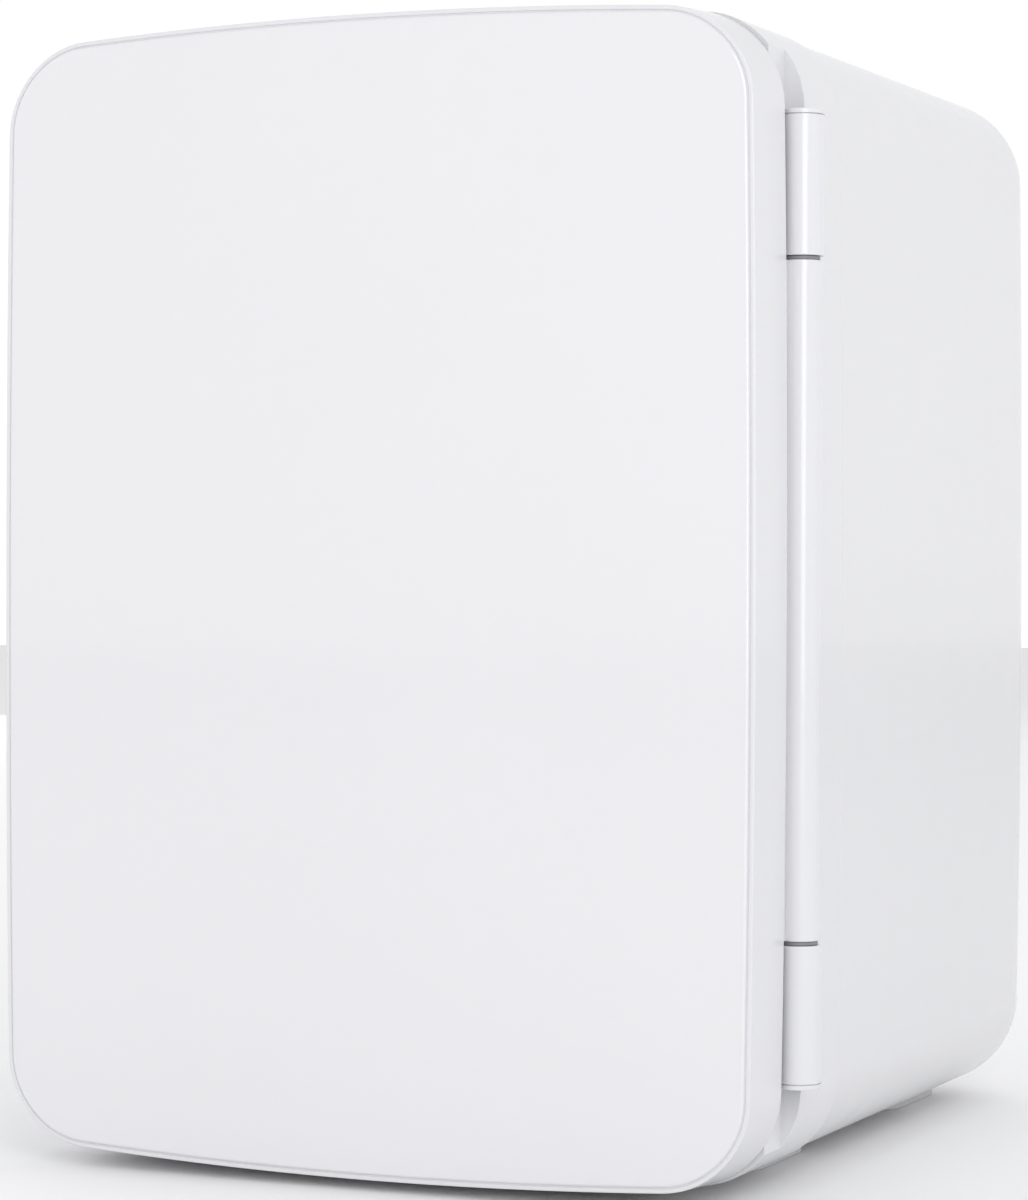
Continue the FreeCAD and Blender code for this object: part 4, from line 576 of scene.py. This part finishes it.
shelf_white = moulded_white("shelf_white_abs", LINER, 0.22, 1.5e-5, 0.2)
low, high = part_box("shelf")
centre, half = plan(low, high)
hole = (DECK_OPENING_HALF, half[1] - DECK_BORDER)
deck_top = low.z + DECK_THICK
edges = soft_edges(low.z, deck_top, DECK_ROUND)
grid = bmesh.new()
skin(grid, [loop(grid, "z", level, centre, (half[0] - inset, half[1] - inset), DECK_CORNER - inset)
            for level, inset in edges]
     + [loop(grid, "z", level, centre, (hole[0] + inset, hole[1] + inset), OPENING_SOFT + inset)
        for level, inset in reversed(edges)], closed=True)
for i in range(BAR_COUNT):
    x = centre[0] + (i - (BAR_COUNT - 1) / 2) * BAR_PITCH
    box(grid, (x - BAR_WIDTH / 2, centre[1] - hole[1] - BAR_OVERLAP, low.z + BAR_SUNK),
        (x + BAR_WIDTH / 2, centre[1] + hole[1] + BAR_OVERLAP, deck_top - BAR_SUNK), DECK_ROUND)
box(grid, (low.x + DECK_CORNER, high.y - LIP_THICK, low.z + DECK_ROUND),
    (high.x - DECK_CORNER, high.y, high.z), DECK_ROUND)
make("slotted_shelf", grid, "shelf", "shelf_white", shelf_white, "shelf")

# --- cold side ----------------------------------------------------------------------------
# A slotted hood on four screws covers the small fan that blows cabin air through the cold
# sink. The sink is a finned aluminium extrusion clamped to the thermoelectric module.

ALUMINIUM = (0.77, 0.78, 0.79, 1)
BLACK_PLASTIC = (0.022, 0.022, 0.024, 1)
ALUMINA = (0.86, 0.86, 0.84, 1)
fan_black = textured("fan_black_pbt", BLACK_PLASTIC, 0.42, 0.0004, 6e-6, 0.2)
extruded = brushed("extruded_aluminium", ALUMINIUM, 0.26, (1, 1, 0.02), 0.0005)
alumina = textured("alumina_plate", ALUMINA, 0.5, 0.0003, 4e-6)
eased("cabin_hood", "cold_hood", "cabinet", "liner_white", liner_white)
pan_heads("hood_screws", -1)
pan_heads("cold_fan_screws", -1)
wear(extruded, "cold_sink", "hot_sink", "spacer_block")
wear(alumina, "cooling_module")
wear(fan_black, "cold_fan_frame", "cold_fan_rotor", "hot_fan_frame", "hot_fan_rotor")

# --- door frame ---------------------------------------------------------------------------
# The door's tray, moulded in the case's white ABS. It widens towards the case, a fine lip
# stands round the front panel, with a thin bead of white sealant in the gap between them.

FLARE, LIP_INSET, LIP_SETBACK = 1.4 * MM, 2.7 * MM, 0.6 * MM
WEB_FRONT, WEB_BACK, DOOR_WALL = 3 * MM, 5 * MM, 3.2 * MM
LIP_ROUND, LIP_CHAMFER, REAR_EDGE = 0.45 * MM, 0.15 * MM, 0.5 * MM
PILLAR, PILLAR_RISE, PILLAR_SET, PILLAR_EDGE = 5.3 * MM, 4 * MM, 1 * MM, 0.3 * MM
SEAT, SEAT_DEPTH = 0.35 * MM, 0.85 * MM

door_front, door_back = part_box("door_panel")[0].y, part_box("door_frame")[1].y
door_depth = door_back - door_front
lean = FLARE / door_depth
tray = bmesh.new()
profile = [(WEB_FRONT, LIP_INSET + SEAT), (SEAT_DEPTH, LIP_INSET + SEAT), (SEAT_DEPTH, LIP_INSET),
           (LIP_SETBACK + LIP_CHAMFER, LIP_INSET), (LIP_SETBACK, LIP_INSET - LIP_CHAMFER)]
profile += [(LIP_SETBACK + LIP_ROUND * fall, FLARE - LIP_SETBACK * lean + LIP_ROUND * (1 - rise))
            for rise, fall in quarter(5)]
profile += [(door_depth - REAR_EDGE, REAR_EDGE * lean)]
profile += [(door_depth - REAR_EDGE * (1 - rise), REAR_EDGE * fall) for rise, fall in quarter(4)[1:]]
profile += [(door_depth, DOOR_WALL), (WEB_BACK, DOOR_WALL)]
skin(tray, [case_loop(tray, door_front + depth, inset) for depth, inset in profile])
knuckle_low, knuckle_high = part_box("door_knuckle")
pillar_side = MIDDLE[0] + HALF[0] - DOOR_WALL
box(tray, (pillar_side - PILLAR, door_front + WEB_FRONT + PILLAR_SET, knuckle_low.z - PILLAR_RISE),
    (pillar_side + PILLAR_SET, door_back, knuckle_high.z + PILLAR_RISE), PILLAR_EDGE)
make("door_tray", tray, "door", "shell_white", shell_white, "door_frame")

# --- door panel ---------------------------------------------------------------------------
# A flat sheet of clear acrylic, painted white on its back, bonded onto the web. Its polished
# edge is rounded and stands a little proud of the tray's lip.

PANEL_INSET, PANEL_ROUND, PANEL_THICK, PANEL_STEPS = 3 * MM, 1.0 * MM, 3 * MM, 8
PANEL_WHITE = (0.72, 0.71, 0.73, 1)
panel_white = moulded_white("panel_white_acrylic", PANEL_WHITE, 0.08, 0.6e-5, 1.0)
sheet = bmesh.new()
profile = [(PANEL_THICK, 0)]
profile += [(PANEL_ROUND * (1 - rise), PANEL_ROUND * fall) for rise, fall in quarter(PANEL_STEPS)]
skin(sheet, [case_loop(sheet, door_front + depth, PANEL_INSET + inset) for depth, inset in profile])
make("front_panel", sheet, "door", "panel_white", panel_white, "door_panel")

# --- door liner, seal and foam ------------------------------------------------------------
# A vacuum-formed plug backs the door and carries the bins' brackets. Round it runs a soft
# grey bellows seal with a ferrite strip inside, which the bezel's steel strip pulls on.

SEAL_GREY = (0.52, 0.53, 0.54, 1)
FERRITE = (0.06, 0.045, 0.04, 1)
seal_low, seal_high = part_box("door_gasket")
seal_grey = textured("seal_grey_vinyl", SEAL_GREY, 0.5, 0.0008, 6e-6, 0.05)
ferrite = textured("ferrite_strip", FERRITE, 0.7, 0.0004, 1e-5, 0.15)
seal_inset = HALF[0] - (seal_high.x - seal_low.x) / 2
seal_depth = seal_high.y - seal_low.y
SEAL_PROFILE = ((0, 0), (0.9, 0), (1.25, 0.9), (1.9, 1.1), (2.6, 0.5), (3.6, 0), (4.05, 0.25),
                (4.2, 0.8), (4.2, 7.2), (4.05, 7.75), (3.6, 8), (2.6, 7.5), (1.9, 6.9),
                (1.25, 7.1), (0.9, 8), (0, 8))
seal = bmesh.new()
skin(seal, [case_loop(seal, seal_low.y + min(depth * MM, seal_depth), seal_inset + inset * MM)
            for depth, inset in SEAL_PROFILE], closed=True)
make("door_seal", seal, "door", "gasket_grey", seal_grey, "door_gasket")

PLATE_INSET, PLATE_THICK, PLATE_ROUND = 3.4 * MM, 2.5 * MM, 0.4 * MM
PLUG_HALF, PLUG_RISE, PLUG_WALL = (90 * MM, 133 * MM), 18.5 * MM, 2 * MM
PLUG_CORNER, PLUG_FILLET, PLUG_ROUND = 8 * MM, 3 * MM, 2.5 * MM
BRACKET_THICK, BRACKET_SPAN, BRACKET_DROP, BRACKET_CORNER = 5 * MM, 70 * MM, 4 * MM, 5 * MM
LUG_REACH, LUG_START, LUG_LENGTH = 2.2 * MM, 14 * MM, 14 * MM
LUG_FOOT, LUG_TOP, LUG_EDGE, BRACKET_SET = 6 * MM, 12 * MM, 0.5 * MM, 1 * MM


def plug_loop(bm, y, inset):
    """The plug's outline at depth y, stepped in by inset."""
    return loop(bm, "y", y, MIDDLE, (PLUG_HALF[0] - inset, PLUG_HALF[1] - inset), PLUG_CORNER - inset,
                SIDE_CUTS)


plate_low, plug_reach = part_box("door_liner")[0].y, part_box("door_liner")[1].y
plate_high, plug_high = plate_low + PLATE_THICK, plate_low + PLUG_RISE
plug = bmesh.new()
loops = [plug_loop(plug, y, PLUG_WALL) for y in (plug_high - PLUG_WALL, plate_low)]
loops += [case_loop(plug, level, PLATE_INSET + inset)
          for level, inset in soft_edges(plate_low, plate_high, PLATE_ROUND, 2)]
loops += [plug_loop(plug, plate_high + PLUG_FILLET * fall, -PLUG_FILLET * (1 - rise))
          for rise, fall in quarter(5)]
loops += [plug_loop(plug, plug_high - PLUG_ROUND * (1 - rise), PLUG_ROUND * fall)
          for rise, fall in quarter(5)]
skin(plug, loops)
for node in ("lower_bin", "upper_bin"):
    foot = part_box(node)[0].z
    root = plug_high - BRACKET_SET
    middle = ((root + plug_reach) / 2, foot - BRACKET_DROP + BRACKET_SPAN / 2)
    half = ((plug_reach - root) / 2, BRACKET_SPAN / 2)
    for side in (-1, 1):
        outer = MIDDLE[0] + side * PLUG_HALF[0]
        inner = outer - side * BRACKET_THICK
        skin(plug, [loop(plug, "x", level, middle, (half[0] - inset, half[1] - inset),
                         BRACKET_CORNER - inset)
                    for level, inset in soft_edges(min(inner, outer), max(inner, outer), DECK_ROUND)])
        tip = inner - side * LUG_REACH
        box(plug, (min(tip, inner), plug_high + LUG_START, foot + LUG_FOOT),
            (max(tip, inner), plug_high + LUG_START + LUG_LENGTH, foot + LUG_TOP), LUG_EDGE)
make("door_plug", plug, "door", "liner_white", liner_white, "door_liner")
wear(ferrite, "gasket_magnet")

# --- door bins ----------------------------------------------------------------------------
# Two open trays in clear frosted polystyrene. They drop over lugs on the plug's brackets and
# lift off for washing.

CLEAR = (0.78, 0.81, 0.83, 1)
SEEN_THROUGH, RUBBED = 0.34, 0.38
bin_clear = Finish("bin_clear_styrene", ior=1.55)
bin_speck, bin_drift = bin_clear.noise(0.0009, 3), bin_clear.noise(0.02, 4)
bin_clear.set(base_color=bin_clear.mix(bin_drift, shade(CLEAR, 0.95), CLEAR),
              alpha=bin_clear.spread(bin_drift, SEEN_THROUGH, RUBBED),
              roughness=bin_clear.spread(bin_drift, 0.12, 0.22),
              normal=bin_clear.bump(bin_speck, 4e-6, 0.5))
eased("upper_tray", "upper_bin", "upper_bin", "bin_clear", bin_clear)
eased("lower_tray", "lower_bin", "lower_bin", "bin_clear", bin_clear)

# --- hinge --------------------------------------------------------------------------------
# Two fixed knuckles are screwed into the bezel's channel, and the long knuckle between them
# is screwed to the door. Steel pins and grey nylon washers join them.

BARREL_EDGE = 0.35 * MM
CAP_THICK, CAP_GROOVE, CAP_GROOVE_DEPTH = 1.5 * MM, 0.18 * MM, 0.55 * MM
PIN_STEEL = (0.66, 0.66, 0.68, 1)
NYLON = (0.24, 0.24, 0.25, 1)
LEAF_INSET, LEAF_EDGE, BARREL_STEPS = 1.2 * MM, 0.25 * MM, 72
axis_x, axis_y = plan(*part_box("hinge_pins"))[0]


def knuckle(name, node, body, leaf_low_y, leaf_high_y, capped=0):
    """A turned barrel with a flat leaf along one side. capped puts an end cap's fine groove
    near its top (1) or its bottom (-1)."""
    low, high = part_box(node)
    radius = high.x - axis_x
    bm = bmesh.new()
    ends = [(radius - BARREL_EDGE * (1 - rise), low.z + BARREL_EDGE * fall) for rise, fall in quarter(4)]
    ends += [(radius - BARREL_EDGE * fall, high.z - BARREL_EDGE * (1 - rise))
             for rise, fall in quarter(4)]
    if capped:
        middle = high.z - CAP_THICK if capped > 0 else low.z + CAP_THICK
        groove = [(radius, middle - CAP_GROOVE), (radius - CAP_GROOVE_DEPTH, middle - CAP_GROOVE),
                  (radius - CAP_GROOVE_DEPTH, middle + CAP_GROOVE), (radius, middle + CAP_GROOVE)]
        ends = ends[:len(ends) // 2] + groove + ends[len(ends) // 2:]
    lathe(bm, (axis_x, axis_y, 0), (0, 0, 1), [(0, low.z)] + ends + [(0, high.z)], BARREL_STEPS)
    box(bm, (low.x, leaf_low_y, low.z), (MIDDLE[0] + HALF[0] - LEAF_INSET, leaf_high_y, high.z),
        LEAF_EDGE)
    make(name, bm, body, "shell_white", shell_white, node)


for end, capped in (("top", 1), ("bottom", -1)):
    knuckle(end + "_barrel", end + "_knuckle", "cabinet", axis_y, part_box(end + "_knuckle")[1].y, capped)
knuckle("door_barrel", "door_knuckle", "door", knuckle_low.y, axis_y)
wear(brushed("ground_steel", PIN_STEEL, 0.15, (1, 1, 0.05), 0.0003), "hinge_pins")
wear(textured("grey_nylon", NYLON, 0.45, 0.0005, 5e-6, 0.2), "hinge_washers")

# --- sockets and switch -------------------------------------------------------------------
# The mains and car-lead inlets and the cold, off and warm slide switch snap through windows
# in the rear cover. Two small lamps beside them show which way the module is running.

SOCKET_BLACK = (0.025, 0.025, 0.027, 1)
BRASS = (0.72, 0.6, 0.36, 1)
SOCKET_EDGE = 0.3 * MM
socket_black = textured("socket_grey_nylon", SOCKET_BLACK, 0.38, 0.0005, 6e-6, 0.2)
brass = brushed("nickel_flashed_brass", BRASS, 0.2, (1, 0.05, 1), 0.0003)
for node in ("ac_inlet", "dc_inlet", "mode_switch_case"):
    eased(node + "_moulding", node, "cabinet", "socket_black", socket_black, SOCKET_EDGE)
eased("switch_slider", "mode_switch_lever", "mode_switch", "socket_black", socket_black, SOCKET_EDGE)
wear(brass, "ac_inlet_pins", "dc_inlet_pins")


def lens(name, colour):
    """A clear tinted lamp lens with a faint milky core."""
    finish = Finish(name, transmission_weight=0.35, ior=1.49, roughness=0.08)
    cloud = finish.noise(0.0006, 3)
    finish.set(base_color=finish.mix(cloud, shade(colour, 0.8), shade(colour, 1.15)),
               roughness=finish.spread(cloud, 0.06, 0.16), normal=finish.bump(cloud, 3e-6, 0.4))
    return finish


wear(lens("lamp_green_lens", (0.1, 0.55, 0.2, 1)), "cold_lamp")
wear(lens("lamp_red_lens", (0.62, 0.08, 0.06, 1)), "warm_lamp")

# --- electrics ----------------------------------------------------------------------------
# Behind the cover a small board turns mains into 12 V. It carries a taped transformer, two
# capacitors in shrink sleeve and green terminal blocks, with rubber-sleeved leads.

BOARD_GREEN, TAPE_YELLOW = (0.02, 0.16, 0.07, 1), (0.62, 0.46, 0.1, 1)
SLEEVE_BLUE, TERMINAL_GREEN = (0.02, 0.028, 0.07, 1), (0.04, 0.34, 0.1, 1)
board = Finish("solder_mask", coat_weight=0.6, coat_roughness=0.15)
runs = board.node("ShaderNodeTexBrick", {"offset": 0.5}, {
    "Vector": board.place(), "Scale": 220, "Mortar Size": 0.09, "Color1": shade(BOARD_GREEN, 1),
    "Color2": shade(BOARD_GREEN, 1.25), "Mortar": shade(BOARD_GREEN, 2.2)})
board_grain = board.noise(0.0008, 3)
board.set(base_color=board.mix(board.spread(board_grain, 0, 0.3), runs, BOARD_GREEN),
          roughness=board.spread(board_grain, 0.3, 0.45), normal=board.bump(board_grain, 5e-6, 0.5))
wear(board, "control_board")
wear(textured("winding_tape", TAPE_YELLOW, 0.5, 0.002, 2e-5, 0.12), "transformer")
wear(textured("capacitor_sleeve", SLEEVE_BLUE, 0.35, 0.001, 4e-6, 0.25), "capacitors")
wear(textured("terminal_nylon", TERMINAL_GREEN, 0.4, 0.0006, 5e-6, 0.1), "terminal_blocks")
wear(textured("lead_sleeve", SOCKET_BLACK, 0.5, 0.0007, 6e-6, 0.25), "hot_fan_lead",
     "module_leads")
wear(fan_black, "thermal_cutout")
